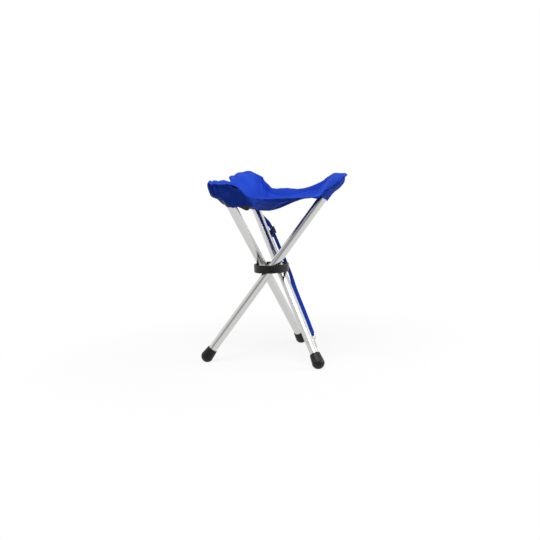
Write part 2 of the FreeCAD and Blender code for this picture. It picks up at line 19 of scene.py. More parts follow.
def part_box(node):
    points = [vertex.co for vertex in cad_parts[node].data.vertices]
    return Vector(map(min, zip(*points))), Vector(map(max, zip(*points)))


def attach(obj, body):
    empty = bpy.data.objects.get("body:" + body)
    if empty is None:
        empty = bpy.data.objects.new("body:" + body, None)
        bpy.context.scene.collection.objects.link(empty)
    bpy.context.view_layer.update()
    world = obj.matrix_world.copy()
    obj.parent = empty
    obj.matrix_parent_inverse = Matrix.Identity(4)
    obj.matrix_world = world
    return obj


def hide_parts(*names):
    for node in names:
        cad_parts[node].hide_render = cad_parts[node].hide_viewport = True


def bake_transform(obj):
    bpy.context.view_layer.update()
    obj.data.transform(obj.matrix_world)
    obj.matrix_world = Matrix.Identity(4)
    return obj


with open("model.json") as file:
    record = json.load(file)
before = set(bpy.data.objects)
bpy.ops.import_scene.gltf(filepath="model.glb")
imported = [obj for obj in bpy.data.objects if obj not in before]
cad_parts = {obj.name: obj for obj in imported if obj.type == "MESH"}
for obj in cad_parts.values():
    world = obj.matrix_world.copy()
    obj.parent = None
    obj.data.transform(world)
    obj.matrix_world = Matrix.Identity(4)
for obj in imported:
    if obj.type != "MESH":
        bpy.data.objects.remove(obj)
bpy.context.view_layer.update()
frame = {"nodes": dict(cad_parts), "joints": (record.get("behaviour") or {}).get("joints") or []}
bpy.ops.object.select_all(action="DESELECT")

MM = 0.001
UP = Vector((0, 0, 1))
LEGS = ("a", "c", "b")  # counter-clockwise, seen from above
joints = {joint["name"]: joint for joint in frame["joints"]}
hub = sum((Vector(joints["fold_" + leg]["pos_m"]) for leg in LEGS), Vector()) / len(LEGS)
print("hub height", round(hub.z, 4), "nodes", len(frame["nodes"]))

# %% [markdown]
# ## Where each leg stands
#
# Each leg turns on a rivet that points straight out of the ring. The joint gives that rivet's place and
# direction, and the joint's range is the leg's lean, because a folded leg stands upright. From these
# follow the leg's own axes: out of the ring, under (the tube's lower side) and up along the tube.


# %% Leg frames
class Leg:
    """A leg's own axes, from its joint. A point in it is (out, under, up the tube)."""

    def __init__(self, name):
        joint = joints["fold_" + name]
        self.name = name
        self.lean = math.radians(joint["range_deg"][1])
        self.pivot = Vector(joint["pos_m"])
        self.out = Vector(joint["axis"]).normalized()
        self.along = UP.cross(self.out)
        self.axis = self.along * math.sin(self.lean) + UP * math.cos(self.lean)
        self.under = self.axis.cross(self.out)
        tube_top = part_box("leg_tube_" + name)[1].z
        top = self.pivot + self.axis * ((tube_top - self.pivot.z) / math.cos(self.lean))
        self.corner = Vector((top.x, top.y, 0)).normalized()  # from the seat's middle to above the tube's top
        self.beside = UP.cross(self.corner)

    def place(self, out, under, up):
        return self.pivot + self.out * out + self.under * under + self.axis * up

    def turn(self):
        return Matrix((self.out, self.under, self.axis)).transposed()


legs = {name: Leg(name) for name in LEGS}
print("lean", round(math.degrees(legs["a"].lean), 2))

# %% [markdown]
# ## The camera
#
# The photo was taken from nearly straight in front and a little above. The angle, the distance and the
# lens below were found by matching the ends of the three tubes and the ring, and the camera is aimed so
# that the ring falls on the same place in the picture.

# %% Camera
VIEW_AZIMUTH = math.radians(2.17)
VIEW_ELEVATION = math.radians(7.55)
VIEW_ROLL = math.radians(-2.71)
VIEW_DISTANCE = 2.181
IMAGE_SIDE = 540
FOCAL_PIXELS = 865.4
HUB_PIXEL = (271.5, 267.4)
SENSOR = 36.0

back = Vector(
    (
        math.sin(VIEW_AZIMUTH) * math.cos(VIEW_ELEVATION),
        -math.cos(VIEW_AZIMUTH) * math.cos(VIEW_ELEVATION),
        math.sin(VIEW_ELEVATION),
    )
)
level_right = Vector((math.cos(VIEW_AZIMUTH), math.sin(VIEW_AZIMUTH), 0))
level_up = back.cross(level_right)
right = level_right * math.cos(VIEW_ROLL) + level_up * math.sin(VIEW_ROLL)
upright = level_up * math.cos(VIEW_ROLL) - level_right * math.sin(VIEW_ROLL)
shift_right, shift_down = [(pixel - IMAGE_SIDE / 2) / FOCAL_PIXELS * VIEW_DISTANCE for pixel in HUB_PIXEL]
eye = hub + back * VIEW_DISTANCE - right * shift_right + upright * shift_down

bpy.ops.object.camera_add()
camera = bpy.context.object
camera.matrix_world = Matrix.Translation(eye) @ Matrix((right, upright, back)).transposed().to_4x4()
camera.data.sensor_width = SENSOR
camera.data.lens = FOCAL_PIXELS * SENSOR / IMAGE_SIDE
bpy.context.scene.camera = camera
print("camera at", [round(value, 3) for value in eye])

# %% [markdown]
# ## Nodes by name
#
# Materials here are small node trees. These helpers keep them short: one adds a node and sets its values,
# one does a sum, and one makes a ramp of colours.


# %% Node helpers
def give(tree, entry, value):
    """Links another node's result to an input, or sets the input's plain value."""
    if isinstance(value, bpy.types.NodeSocket):
        tree.links.new(value, entry)
    else:
        entry.default_value = value


def add_node(tree, kind, settings=None, **inputs):
    """A node. Settings are its own properties, and inputs are values or sockets, by name or number."""
    node = tree.nodes.new(kind)
    for name, value in (settings or {}).items():
        setattr(node, name, value)
    for name, value in inputs.items():
        key = int(name[1:]) if name[0] == "i" and name[1:].isdigit() else name.replace("_", " ")
        give(tree, node.inputs[key], value)
    return node


def maths(tree, operation, *values):
    """The result socket of a Math node."""
    inputs = {f"i{i}": value for i, value in enumerate(values)}
    return add_node(tree, "ShaderNodeMath", {"operation": operation}, **inputs).outputs[0]


def ramp(tree, value, *stops):
    """A colour ramp through (place, colour) stops."""
    node = add_node(tree, "ShaderNodeValToRGB", Fac=value)
    elements = node.color_ramp.elements
    while len(elements) < len(stops):
        elements.new(0.5)
    for element, (place, colour) in zip(elements, stops):
        element.position = place
        element.color = (*colour, 1)
    return node.outputs["Color"]


# %% [markdown]
# A material is started from its main shader's plain values. An effect that several materials share is a
# node group, which is built once and placed in each of them with its own values.


# %% Material helpers
def new_material(name, **values):
    """A material, its tree and its Principled shader, with that shader's plain values."""
    material = bpy.data.materials.new(name)
    material.use_nodes = True
    tree = material.node_tree
    shader = tree.nodes["Principled BSDF"]
    for key, value in values.items():
        shader.inputs[key.replace("_", " ")].default_value = value
    return material, tree, shader


def new_group(name, inputs, outputs):
    """A node group with named float and vector inputs and float outputs."""
    group = bpy.data.node_groups.new(name, "ShaderNodeTree")
    for label, kind in inputs.items():
        group.interface.new_socket(label, in_out="INPUT", socket_type=kind)
    for label in outputs:
        group.interface.new_socket(label, in_out="OUTPUT", socket_type="NodeSocketFloat")
    source = group.nodes.new("NodeGroupInput")
    sink = group.nodes.new("NodeGroupOutput")
    return group, source.outputs, sink.inputs


def use_group(tree, group, **inputs):
    node = tree.nodes.new("ShaderNodeGroup")
    node.node_tree = group
    for name, value in inputs.items():
        give(tree, node.inputs[name.replace("_", " ")], value)
    return node.outputs


def bump(tree, shader, height, strength, distance):
    node = add_node(tree, "ShaderNodeBump", Height=height, Strength=strength, Distance=distance)
    tree.links.new(node.outputs["Normal"], shader.inputs["Normal"])


def object_coordinates(tree):
    return add_node(tree, "ShaderNodeTexCoord").outputs["Object"]


def uv_coordinates(tree):
    return add_node(tree, "ShaderNodeTexCoord").outputs["UV"]


# %% [markdown]
# ## Floor and light
#
# The stool stands on a white sweep. The floor shows mostly plain white to the camera and to reflections,
# and keeps a little of its real shading for the shadow. With distance that shading fades out, so no edge
# of the floor shows.

# %% Floor
FLOOR_SIDE = 12.0
FLOOR_WHITE = 0.85  # how much of the floor's look is plain white near the stool
FADE_FROM, FADE_TO = 0.30, 0.75  # distance from the middle over which the floor turns all white
FLOOR_SEEN = (0.95, 0.95, 0.95, 1)  # the floor's colour where its shadow is looked at
FLOOR_BOUNCE = (0.22, 0.22, 0.22, 1)  # its colour for the light that it throws back up


def seen_rays(tree):
    """One for rays from the camera, reflections and clear materials, and zero for light."""
    path = add_node(tree, "ShaderNodeLightPath").outputs
    seen = maths(tree, "MAXIMUM", path["Is Camera Ray"], path["Is Glossy Ray"])
    return maths(tree, "MAXIMUM", seen, path["Is Transmission Ray"])


def mix_colours(tree, share, first, second):
    mix = add_node(tree, "ShaderNodeMix", {"data_type": "RGBA"}, i0=share, i6=first, i7=second)
    return mix.outputs[2]


def white_floor():
    bpy.ops.mesh.primitive_plane_add(size=FLOOR_SIDE)
    floor = bpy.context.object
    floor.name = "floor"
    material, tree, shader = new_material("floor_white", Roughness=0.9, Specular_IOR_Level=0.0)
    seen = seen_rays(tree)
    tree.links.new(mix_colours(tree, seen, FLOOR_BOUNCE, FLOOR_SEEN), shader.inputs["Base Color"])
    glow = add_node(tree, "ShaderNodeEmission", Strength=1.0)
    place = object_coordinates(tree)
    distance = add_node(tree, "ShaderNodeVectorMath", {"operation": "LENGTH"}, i0=place).outputs["Value"]
    fade = add_node(tree, "ShaderNodeMapRange", {"interpolation_type": "SMOOTHSTEP"}, Value=distance)
    for socket, value in zip(fade.inputs[1:5], (FADE_FROM, FADE_TO, FLOOR_WHITE, 1.0)):
        socket.default_value = value
    share = maths(tree, "MULTIPLY", seen, fade.outputs[0])
    mix = add_node(tree, "ShaderNodeMixShader", i0=share, i1=shader.outputs[0], i2=glow.outputs[0])
    tree.links.new(mix.outputs[0], tree.nodes["Material Output"].inputs["Surface"])
    floor.data.materials.append(material)


white_floor()
print("floor", FLOOR_SIDE, "m wide")

# %% [markdown]
# The room on the photographer's side is darker than the sweep, and the bright tubes show that as a dark
# stripe, so the world is darker there for reflections. One large soft lamp hangs overhead, so the shadows
# under the legs are faint. Two weak lamps stand low, one at the right and one at the left front, and light
# the outer sides of the seat's corners. The tubes in the photo show no stripe from the left, so that lamp
# is kept out of reflections.

# %% World and lamps
AMBIENT = 0.115
ROOM_DARK = 0.36
ROOM_FROM, ROOM_TO = 0.25, 0.75  # how far to the front the room starts and is darkest
LAMP_PLACE, LAMP_SIDE, LAMP_POWER = Vector((-0.25, -0.85, 2.35)), 1.9, 50.0
RIGHT_PLACE, RIGHT_SIDE, RIGHT_POWER = Vector((1.7, -0.15, 0.75)), 0.9, 15.0
LEFT_PLACE, LEFT_SIDE, LEFT_POWER = Vector((-1.5, -1.3, 0.6)), 0.5, 3.2


def studio_world():
    world = bpy.data.worlds.new("studio")
    world.use_nodes = True
    bpy.context.scene.world = world
    tree = world.node_tree
    background = tree.nodes["Background"]
    way = add_node(tree, "ShaderNodeTexCoord").outputs["Generated"]
    parts = add_node(tree, "ShaderNodeSeparateXYZ", Vector=way).outputs
    front = maths(tree, "MULTIPLY", parts["Y"], -1.0)
    path = add_node(tree, "ShaderNodeLightPath").outputs
    room = ramp(tree, front, (ROOM_FROM, (1, 1, 1)), (ROOM_TO, (ROOM_DARK,) * 3))
    mirrored = mix_colours(tree, path["Is Glossy Ray"], (1, 1, 1, 1), room)
    light = mix_colours(tree, seen_rays(tree), (AMBIENT,) * 3 + (1,), mirrored)
    tree.links.new(light, background.inputs["Color"])


def soft_lamp(place, side, power, mirrored=True):
    """A square lamp that is aimed at the ring, and that bright metal mirrors or not."""
    bpy.ops.object.light_add(type="AREA", location=place)
    lamp = bpy.context.object
    lamp.rotation_euler = (place - hub).to_track_quat("Z", "Y").to_euler()
    lamp.data.size = side
    lamp.data.energy = power
    lamp.visible_glossy = mirrored


studio_world()
soft_lamp(LAMP_PLACE, LAMP_SIDE, LAMP_POWER)
soft_lamp(RIGHT_PLACE, RIGHT_SIDE, RIGHT_POWER)
soft_lamp(LEFT_PLACE, LEFT_SIDE, LEFT_POWER, mirrored=False)
bpy.context.scene.view_settings.view_transform = "Standard"
print("lamps", len(bpy.data.lights))

# %% [markdown]
# ## Effects that several finishes share
#
# Plastic, rubber and vinyl all have a fine moulded grain with a broader unevenness, and every used surface
# has scuffs. Cloth and webbing both have threads that go over and under each other. Each effect is one
# node group, and each finish sets its own scale.

# %% Shared node groups
BROAD_SHARE = 0.06  # how coarse the broad unevenness is beside the grain
SCUFF_ABOVE, SCUFF_STEEP = 0.58, 9.0  # noise over this value is a scuff, and how sharp its edge is
CROWN_POWER = 0.4  # how flat a thread's crown is


def grain_group():
    group, given, result = new_group(
        "moulded_grain", {"Vector": "NodeSocketVector", "Scale": "NodeSocketFloat"}, ("Height", "Patches")
    )
    fine = add_node(group, "ShaderNodeTexNoise", Vector=given["Vector"], Scale=given["Scale"], Detail=3.0)
    broad_scale = maths(group, "MULTIPLY", given["Scale"], BROAD_SHARE)
    broad = add_node(group, "ShaderNodeTexNoise", Vector=given["Vector"], Scale=broad_scale, Detail=2.0)
    group.links.new(fine.outputs[0], result["Height"])
    group.links.new(broad.outputs[0], result["Patches"])
    return group


def scuff_group():
    group, given, result = new_group(
        "scuffs",
        {"Vector": "NodeSocketVector", "Scale": "NodeSocketFloat", "Amount": "NodeSocketFloat"},
        ("Mask",),
    )
    marks = add_node(
        group, "ShaderNodeTexNoise", Vector=given["Vector"], Scale=given["Scale"], Detail=6.0, Roughness=0.7
    )
    above = maths(group, "SUBTRACT", marks.outputs[0], SCUFF_ABOVE)
    steep = maths(group, "MULTIPLY", above, SCUFF_STEEP)
    limited = add_node(group, "ShaderNodeClamp", Value=steep).outputs[0]
    group.links.new(maths(group, "MULTIPLY", limited, given["Amount"]), result["Mask"])
    return group


def weave_group():
    """Plain weave: in each cell of a chequer, either the thread along or the thread across lies on top."""
    group, given, result = new_group(
        "plain_weave", {"Vector": "NodeSocketVector", "Pitch": "NodeSocketFloat"}, ("Height", "Along")
    )
    parts = add_node(group, "ShaderNodeSeparateXYZ", Vector=given["Vector"]).outputs
    waves = []
    for way in ("X", "Y"):
        turn = maths(group, "MULTIPLY", maths(group, "DIVIDE", parts[way], given["Pitch"]), math.pi)
        waves.append(maths(group, "SINE", turn))
    chequer = maths(group, "MULTIPLY", *waves)
    along = maths(group, "GREATER_THAN", chequer, 0.0)
    rounds = [maths(group, "ABSOLUTE", wave) for wave in waves]
    crowns = [maths(group, "POWER", value, CROWN_POWER) for value in rounds]
    lengthwise = maths(group, "MULTIPLY", rounds[0], crowns[1])
    crosswise = maths(group, "MULTIPLY", rounds[1], crowns[0])
    pick = add_node(group, "ShaderNodeMix", i0=along, i2=crosswise, i3=lengthwise)
    group.links.new(pick.outputs[0], result["Height"])
    group.links.new(along, result["Along"])
    return group


grain = grain_group()
scuffs = scuff_group()
weave = weave_group()
print("groups", [group.name for group in (grain, scuffs, weave)])

# %% [markdown]
# ## Finishes
#
# The tubes are drawn aluminium with a satin skin: fine lines along the tube, a soft gloss and a few rubbed
# places. A Mapping node turns the pattern into each leg's own axes. The ring and the slider are moulded
# black plastic, the feet are rubber with pale scuffs, the rivets are blackened steel and the loop is
# bright plated steel.

# %% Hard finishes
ALUMINIUM = (0.63, 0.628, 0.615)
ALUMINIUM_RUBBED = (0.56, 0.555, 0.545)
DRAWN_LINES = (900.0, 900.0, 9.0)  # pattern per metre across and along a tube
LINE_STRENGTH, LINE_DEPTH = 0.25, 0.04 * MM
SATIN, LINE_SATIN, RUBBED_SATIN = 0.19, 0.10, 0.06  # roughness, and what the lines and the rubbed places add
GRAIN_STRENGTH = 0.3
GLOSS_SPREAD, SCUFF_ROUGH = 0.16, 0.12  # what patches and scuffs do to the roughness of plastic and rubber
PLATE_DULL, PLATE_ROUGH = 0.7, 0.2  # what scuffs do to the colour and the roughness of plated steel


def drawn_aluminium(leg):
    material, tree, shader = new_material("aluminium_" + leg.name, Metallic=1.0)
    turn = leg.turn().to_euler()
    mapping = add_node(
        tree,
        "ShaderNodeMapping",
        {"vector_type": "TEXTURE"},
        Vector=object_coordinates(tree),
        Location=leg.pivot,
        Rotation=turn,
    )
    local = mapping.outputs[0]
    stretched = add_node(tree, "ShaderNodeVectorMath", {"operation": "MULTIPLY"}, i0=local, i1=DRAWN_LINES)
    streaks = add_node(tree, "ShaderNodeTexNoise", Vector=stretched.outputs[0], Scale=1.0, Detail=4.0)
    lines = streaks.outputs[0]
    rubbed = use_group(tree, scuffs, Vector=local, Scale=38.0, Amount=1.0)["Mask"]
    colour = ramp(tree, rubbed, (0.0, ALUMINIUM), (1.0, ALUMINIUM_RUBBED))
    tree.links.new(colour, shader.inputs["Base Color"])
    line_share = maths(tree, "MULTIPLY", lines, LINE_SATIN)
    rough = maths(tree, "ADD", line_share, maths(tree, "MULTIPLY_ADD", rubbed, RUBBED_SATIN, SATIN))
    tree.links.new(rough, shader.inputs["Roughness"])
    bump(tree, shader, lines, LINE_STRENGTH, LINE_DEPTH)
    return material


def moulded(name, colour, scuffed, roughness, scale, depth):
    """Black plastic, rubber or vinyl: grain in the bump, patches in the gloss, and paler scuffs."""
    material, tree, shader = new_material(name, Specular_IOR_Level=0.3)
    place = object_coordinates(tree)
    surface = use_group(tree, grain, Vector=place, Scale=scale)
    rubbed = use_group(tree, scuffs, Vector=place, Scale=90.0, Amount=0.7)["Mask"]
    tree.links.new(ramp(tree, rubbed, (0.0, colour), (1.0, scuffed)), shader.inputs["Base Color"])
    gloss = maths(tree, "MULTIPLY_ADD", surface["Patches"], GLOSS_SPREAD, roughness - GLOSS_SPREAD / 2)
    tree.links.new(maths(tree, "MULTIPLY_ADD", rubbed, SCUFF_ROUGH, gloss), shader.inputs["Roughness"])
    bump(tree, shader, surface["Height"], GRAIN_STRENGTH, depth)
    return material


def plated_steel(name, colour, roughness):
    material, tree, shader = new_material(name, Metallic=1.0)
    place = object_coordinates(tree)
    rubbed = use_group(tree, scuffs, Vector=place, Scale=400.0, Amount=1.0)["Mask"]
    dull = tuple(PLATE_DULL * value for value in colour)
    tree.links.new(ramp(tree, rubbed, (0.0, colour), (1.0, dull)), shader.inputs["Base Color"])
    tree.links.new(maths(tree, "MULTIPLY_ADD", rubbed, PLATE_ROUGH, roughness), shader.inputs["Roughness"])
    return material


# Name, colour, scuffed colour, roughness, grain per metre and grain depth
ring_plastic = moulded("ring_plastic", (0.0068, 0.0050, 0.0052), (0.016, 0.014, 0.014), 0.36, 1600.0, 0.00005)
plug_plastic = moulded("plug_plastic", (0.02, 0.02, 0.02), (0.04, 0.04, 0.04), 0.45, 1600.0, 0.00005)
foot_rubber = moulded("foot_rubber", (0.008, 0.0068, 0.0068), (0.03, 0.028, 0.027), 0.44, 1100.0, 0.00008)
slider_plastic = moulded("slider_plastic", (0.012, 0.012, 0.013), (0.03, 0.03, 0.03), 0.36, 1800.0, 0.00004)
pocket_vinyl = moulded("pocket_vinyl", (0.010, 0.010, 0.011), (0.03, 0.03, 0.03), 0.40, 700.0, 0.00012)
rivet_steel = plated_steel("rivet_steel", (0.035, 0.033, 0.033), 0.4)
loop_metal = plated_steel("loop_metal", (0.78, 0.77, 0.75), 0.18)
print("hard finishes ready, with", len(grain.nodes), "nodes in the shared grain")

# %% [markdown]
# ## Cloth finishes
#
# The seat is a close plain weave of blue nylon with a faint sheen, and the strap is a coarser ribbed
# webbing of the same blue. The weave is drawn on the piece's own UV map, which is in metres of cloth, so
# the threads keep their size round every fold. Broad patches vary the dye a little. The crowns of the
# threads are painted paler and the hollows between them darker, as painted highlight and painted shade.

# %% Soft finishes
BLUE = (0.014, 0.066, 0.56)
BLUE_PALE = (0.018, 0.082, 0.66)
BLUE_DEEP = (0.011, 0.052, 0.47)
SEAT_PITCH = 0.7 * MM
WEBBING_PITCH = 1.6 * MM
THREAD_PITCH = 0.5 * MM
# The threads' share is painted highlight on their crowns and painted shade between them; the dye's share is
# random tone
THREAD_PAINTED_SHADE_SHARE, DYE_SHARE = 0.35, 0.65  # what the threads and the dye's patches add to the tone
DYE_SCALE = 26.0  # patches per metre
WEAVE_STRENGTH = 0.08
CROSS_ROUGH, ALONG_ROUGH = 0.62, 0.08  # roughness, and what the threads that run along add


def woven(name, pitch, depth, dark):
    """A plain weave in blue. Dark scales its colour."""
    material, tree, shader = new_material(
        name, Sheen_Weight=0.03, Sheen_Roughness=0.4, Sheen_Tint=(0.6, 0.7, 1.0, 1), Specular_IOR_Level=0.12
    )
    cloth = uv_coordinates(tree)
    threads = use_group(tree, weave, Vector=cloth, Pitch=pitch)
    dye = add_node(tree, "ShaderNodeTexNoise", Vector=cloth, Scale=DYE_SCALE, Detail=4.0).outputs[0]
    dyed = maths(tree, "MULTIPLY", dye, DYE_SHARE)
    # Painted highlight and shade from the threads' height, added to the dye's random patches
    dye_and_painted_thread_shade = maths(tree, "MULTIPLY_ADD", threads["Height"], THREAD_PAINTED_SHADE_SHARE, dyed)
    shades = [tuple(dark * value for value in shade) for shade in (BLUE_DEEP, BLUE, BLUE_PALE)]
    tree.links.new(ramp(tree, dye_and_painted_thread_shade, *zip((0.2, 0.5, 0.8), shades)), shader.inputs["Base Color"])
    rough = maths(tree, "MULTIPLY_ADD", threads["Along"], ALONG_ROUGH, CROSS_ROUGH)
    tree.links.new(rough, shader.inputs["Roughness"])
    bump(tree, shader, threads["Height"], WEAVE_STRENGTH, depth)
    return material


seat_cloth = woven("seat_cloth", SEAT_PITCH, 0.00012, 1.0)
strap_webbing = woven("strap_webbing", WEBBING_PITCH, 0.0003, 0.95)
stitch_thread = woven("stitch_thread", THREAD_PITCH, 0.0001, 1.1)
print("soft finishes ready, with", len(weave.nodes), "nodes in the shared weave")

# %% [markdown]
# ## Finishes on the CAD pieces
#
# The rigid pieces stay as the CAD model made them. Each gets its finish by its name.

# %% Dress the CAD pieces
FINISHES = {
    "hub_ring": ring_plastic,
    "pivot_rivet": rivet_steel,
    "pivot_washer": loop_metal,
    "pivot_saddle": plug_plastic,
    "foot": foot_rubber,
    "top_plug": plug_plastic,
    "strap_slider": slider_plastic,
    "strap_ring": loop_metal,
    "strap_bracket": loop_metal,
    "bracket_rivet": loop_metal,
}


def dress(piece, material):
    piece.data.materials.clear()
    piece.data.materials.append(material)


for name, node in frame["nodes"].items():
    stem = name[:-2] if name[-2:] in ("_a", "_b", "_c") else name
    if stem == "leg_tube":
        dress(node, drawn_aluminium(legs[name[-1]]))
    elif stem in FINISHES:
        dress(node, FINISHES[stem])
print("kinds of piece dressed", len(FINISHES) + 1)

# %% [markdown]
# ## The seat's hem
#
# The seat is one sheet of cloth with three corners. Its hem is easiest to read from the photo, so the hem
# comes first, as a closed curve through a few stops: the middle of each edge, the neck of each corner, its
# side, its shoulder, its round end and its tip. The plan of the three corners is the same. The heights
# differ, because the cloth was set down by hand and each corner flops its own way.

# %% Hem stops
# Half a corner's outline seen from above: along its middle line and across it, in millimetres
EDGE_STOP = (82.0, 47.0)
NECK_STOP = (126.5, 44.0)
SIDE_STOP = (145.4, 41.3)
SHOULDER_STOP = (164.3, 41.4)
ROUND_STOP = (189.2, 27.0)
TIP_STOP = (199.0, 0.0)
MID_EDGE_REACH = 75.0
HALF_STOPS = (EDGE_STOP, NECK_STOP, SIDE_STOP, SHOULDER_STOP, ROUND_STOP)
# Height of the cloth over the floor at those stops, on the side before the tip, at the tip, and after it
HEM_HEIGHT = {
    "a": ((407, 405.5, 415, 430, 449), 454, (456.5, 456, 448.5, 438, 425)),
    "c": ((426, 439.5, 450, 458, 468.5), 470, (459, 456, 441, 430, 420)),
    "b": ((414, 412, 415, 422.5, 451), 450.5, (449.5, 441, 432, 418, 410)),
}
MID_EDGE_HEIGHT = {"a": 408.5, "c": 427, "b": 420}  # the middle of the edge before each corner
WIDER_AFTER = {"a": 1.0, "c": 1.13, "b": 1.0}  # the side after the tip flops outwards by this share
STEPS_PER_STOP = 10


def hem_stops():
    """The hem's stops all round, counter-clockwise from the middle of the edge before corner a."""
    stops = []
    for name in LEGS:
        along, across = legs[name].corner, legs[name].beside
        sector = math.pi / len(LEGS)
        mid_edge = (MID_EDGE_REACH * math.cos(sector), MID_EDGE_REACH * math.sin(sector))
        before, tip, after = HEM_HEIGHT[name]
        spots = [(*mid_edge, -1, MID_EDGE_HEIGHT[name])]
        spots += [(*stop, -1, height) for stop, height in zip(HALF_STOPS, before)]
        spots.append((*TIP_STOP, 1, tip))
        spots += [(*stop, WIDER_AFTER[name], height) for stop, height in zip(reversed(HALF_STOPS), after)]
        for reach, aside, side, height in spots:
            stops.append((along * reach + across * (side * aside) + UP * height) * MM)
    return stops


def smooth_loop(stops, steps):
    """A smooth closed curve through the stops, with even steps between each two."""
    points = np.array(stops)
    before, after = np.roll(points, 1, 0), np.roll(points, -1, 0)
    far = np.roll(points, -2, 0)
    pieces = []
    for k in range(steps):
        t = k / steps
        pieces.append(
            0.5
            * (
                2 * points
                + (after - before) * t
                + (2 * before - 5 * points + 4 * after - far) * t**2
                + (3 * points - before - 3 * after + far) * t**3
            )
        )
    return np.stack(pieces, 1).reshape(-1, 3)


hem = smooth_loop(hem_stops(), STEPS_PER_STOP)
SECTOR_COLUMNS = len(hem) // len(LEGS)
hem_length = np.linalg.norm(np.roll(hem, -1, 0) - hem, axis=1).sum()
print("hem", len(hem), "points,", round(hem_length, 3), "m round")

# %% [markdown]
# ## The seat's surface
#
# From the hem inwards, every point lies on a straight line in plan between the seat's middle and the hem,
# which gives a grid of columns and rings. The height is a shallow dish, or the top of the pocket where
# that is higher.

# %% Dish and pocket tops
MIDDLE_HEIGHT = 375 * MM
EDGE_RISE = {"a": 34 * MM, "c": 26 * MM, "b": 34 * MM}  # from the middle to the edge before each corner
POCKET_RISE = {"a": 34 * MM, "c": 25 * MM, "b": 17 * MM}  # from the middle to the foot of each pocket
DISH_WIDTH = 0.36  # how wide the dish's round middle is, as a share of the way out to a tip
OVER_TUBE = 14.2 * MM  # tube axis to the cloth's top, square to the tube
LEVEL_AT = 163 * MM  # where a corner turns level, along the tube's run
TURN_SOFT = 3.5 * MM  # how soft the bends between these are


def soft_ramp(distance, softness):
    """Zero before a turn and the distance past it after, with a soft bend between."""
    return softness * np.logaddexp(0.0, distance / softness)


def smooth_step(value):
    t = np.clip(value, 0, 1)
    return t * t * (3 - 2 * t)


def pocket_plane(leg, x, y):
    """Height of the cloth where it lies along a pocket and turns level past its end."""
    run = x * leg.along.x + y * leg.along.y
    slope = 1 / math.tan(leg.lean)
    base = hub.z + OVER_TUBE / math.sin(leg.lean)
    return base + slope * (run - soft_ramp(run - LEVEL_AT, TURN_SOFT))


def dish_and_pocket(leg, x, y, share):
    along, across = leg.corner, leg.beside
    aside = np.arctan2(x * across.x + y * across.y, x * along.x + y * along.y)
    to_tip = smooth_step(1 - np.abs(aside) / (math.pi / len(LEGS)))
    following = LEGS[(LEGS.index(leg.name) + 1) % len(LEGS)]
    to_edge = np.where(aside < 0, EDGE_RISE[leg.name], EDGE_RISE[following])
    to_pocket = POCKET_RISE[leg.name] * (1 - np.exp(-((share / DISH_WIDTH) ** 2)))
    dish = MIDDLE_HEIGHT + (1 - to_tip) * to_edge * share**2 + to_tip * to_pocket
    return dish + soft_ramp(pocket_plane(leg, x, y) - dish, TURN_SOFT)


# %% [markdown]
# Folds fan out from each pocket's mouth, soft creases run up the corners, and the cloth is nowhere quite
# even. The noise is fixed, so each run gives the same cloth. Along its edge the cloth is folded under and
# sewn: this hem stands a little above the rest, the seam draws a groove beside it, and the edge itself is
# rolled down.

# %% Folds and hem
MOUTH_ALONG = 128 * MM  # where a pocket's mouth is, along the corner's middle line
FOLD_HEIGHT, FOLD_COUNT = 3.2 * MM, 9
FOLD_START, FOLD_FADE = 22 * MM, 55 * MM  # where the folds start, from the mouth, and how far they reach
FOLD_SWAY, SWAY_RATE, SWAY_SIZE = 2.6, 1.3, 60 * MM
CORNER_FROM, CORNER_OVER = 105 * MM, 45 * MM  # where the folds give way to the corner's creases
CREASE_HEIGHT, CREASE_WIDTH = 3.0 * MM, 30 * MM
CREASE_DRIFT, DRIFT_LENGTH, DRIFT_WIDTH = 4.5, 45 * MM, 60 * MM
UNEVEN, LUMP_SIZE, LUMP_SEED = 1.1 * MM, 38 * MM, 5.0
SMALL_LUMPS, SMALL_LUMP_SIZE, SMALL_LUMP_SEED = 0.4, 13 * MM, 9.0
CALM_MIDDLE, CALM_CORNER = 0.3, 0.6  # the seat's middle and the corners are more even
HEM_WAVE, WAVE_SIZE, WAVE_SEED = 1.6 * MM, 17 * MM, 31.0
WAVE_FROM, WAVE_OVER = 0.86, 0.12  # share of the way out where the hem starts to wave
HEM_STEP = 1.5 * MM  # how far the folded hem stands above the cloth
HEM_STEP_AT, HEM_STEP_SOFT = 9.6 * MM, 2.4 * MM  # its inner side, from the edge, and how soft that side is
HEM_GROOVE = 2.0 * MM  # how deep the seam draws the cloth in beside the hem
GROOVE_AT, GROOVE_WIDTH = 12 * MM, 3 * MM
HEM_ROLL, ROLL_WIDTH = 2.6 * MM, 5.5 * MM  # how far its edge is rolled down, and over what width
LEAST_SHARE = 0.05  # keeps the seat's very middle from dividing by zero


def noise_at(x, y, seed):
    """Smooth noise from -1 to 1 over arrays of places."""
    flat = [noise.noise(Vector((a, b, seed))) for a, b in zip(np.ravel(x), np.ravel(y))]
    return np.array(flat).reshape(np.shape(x))


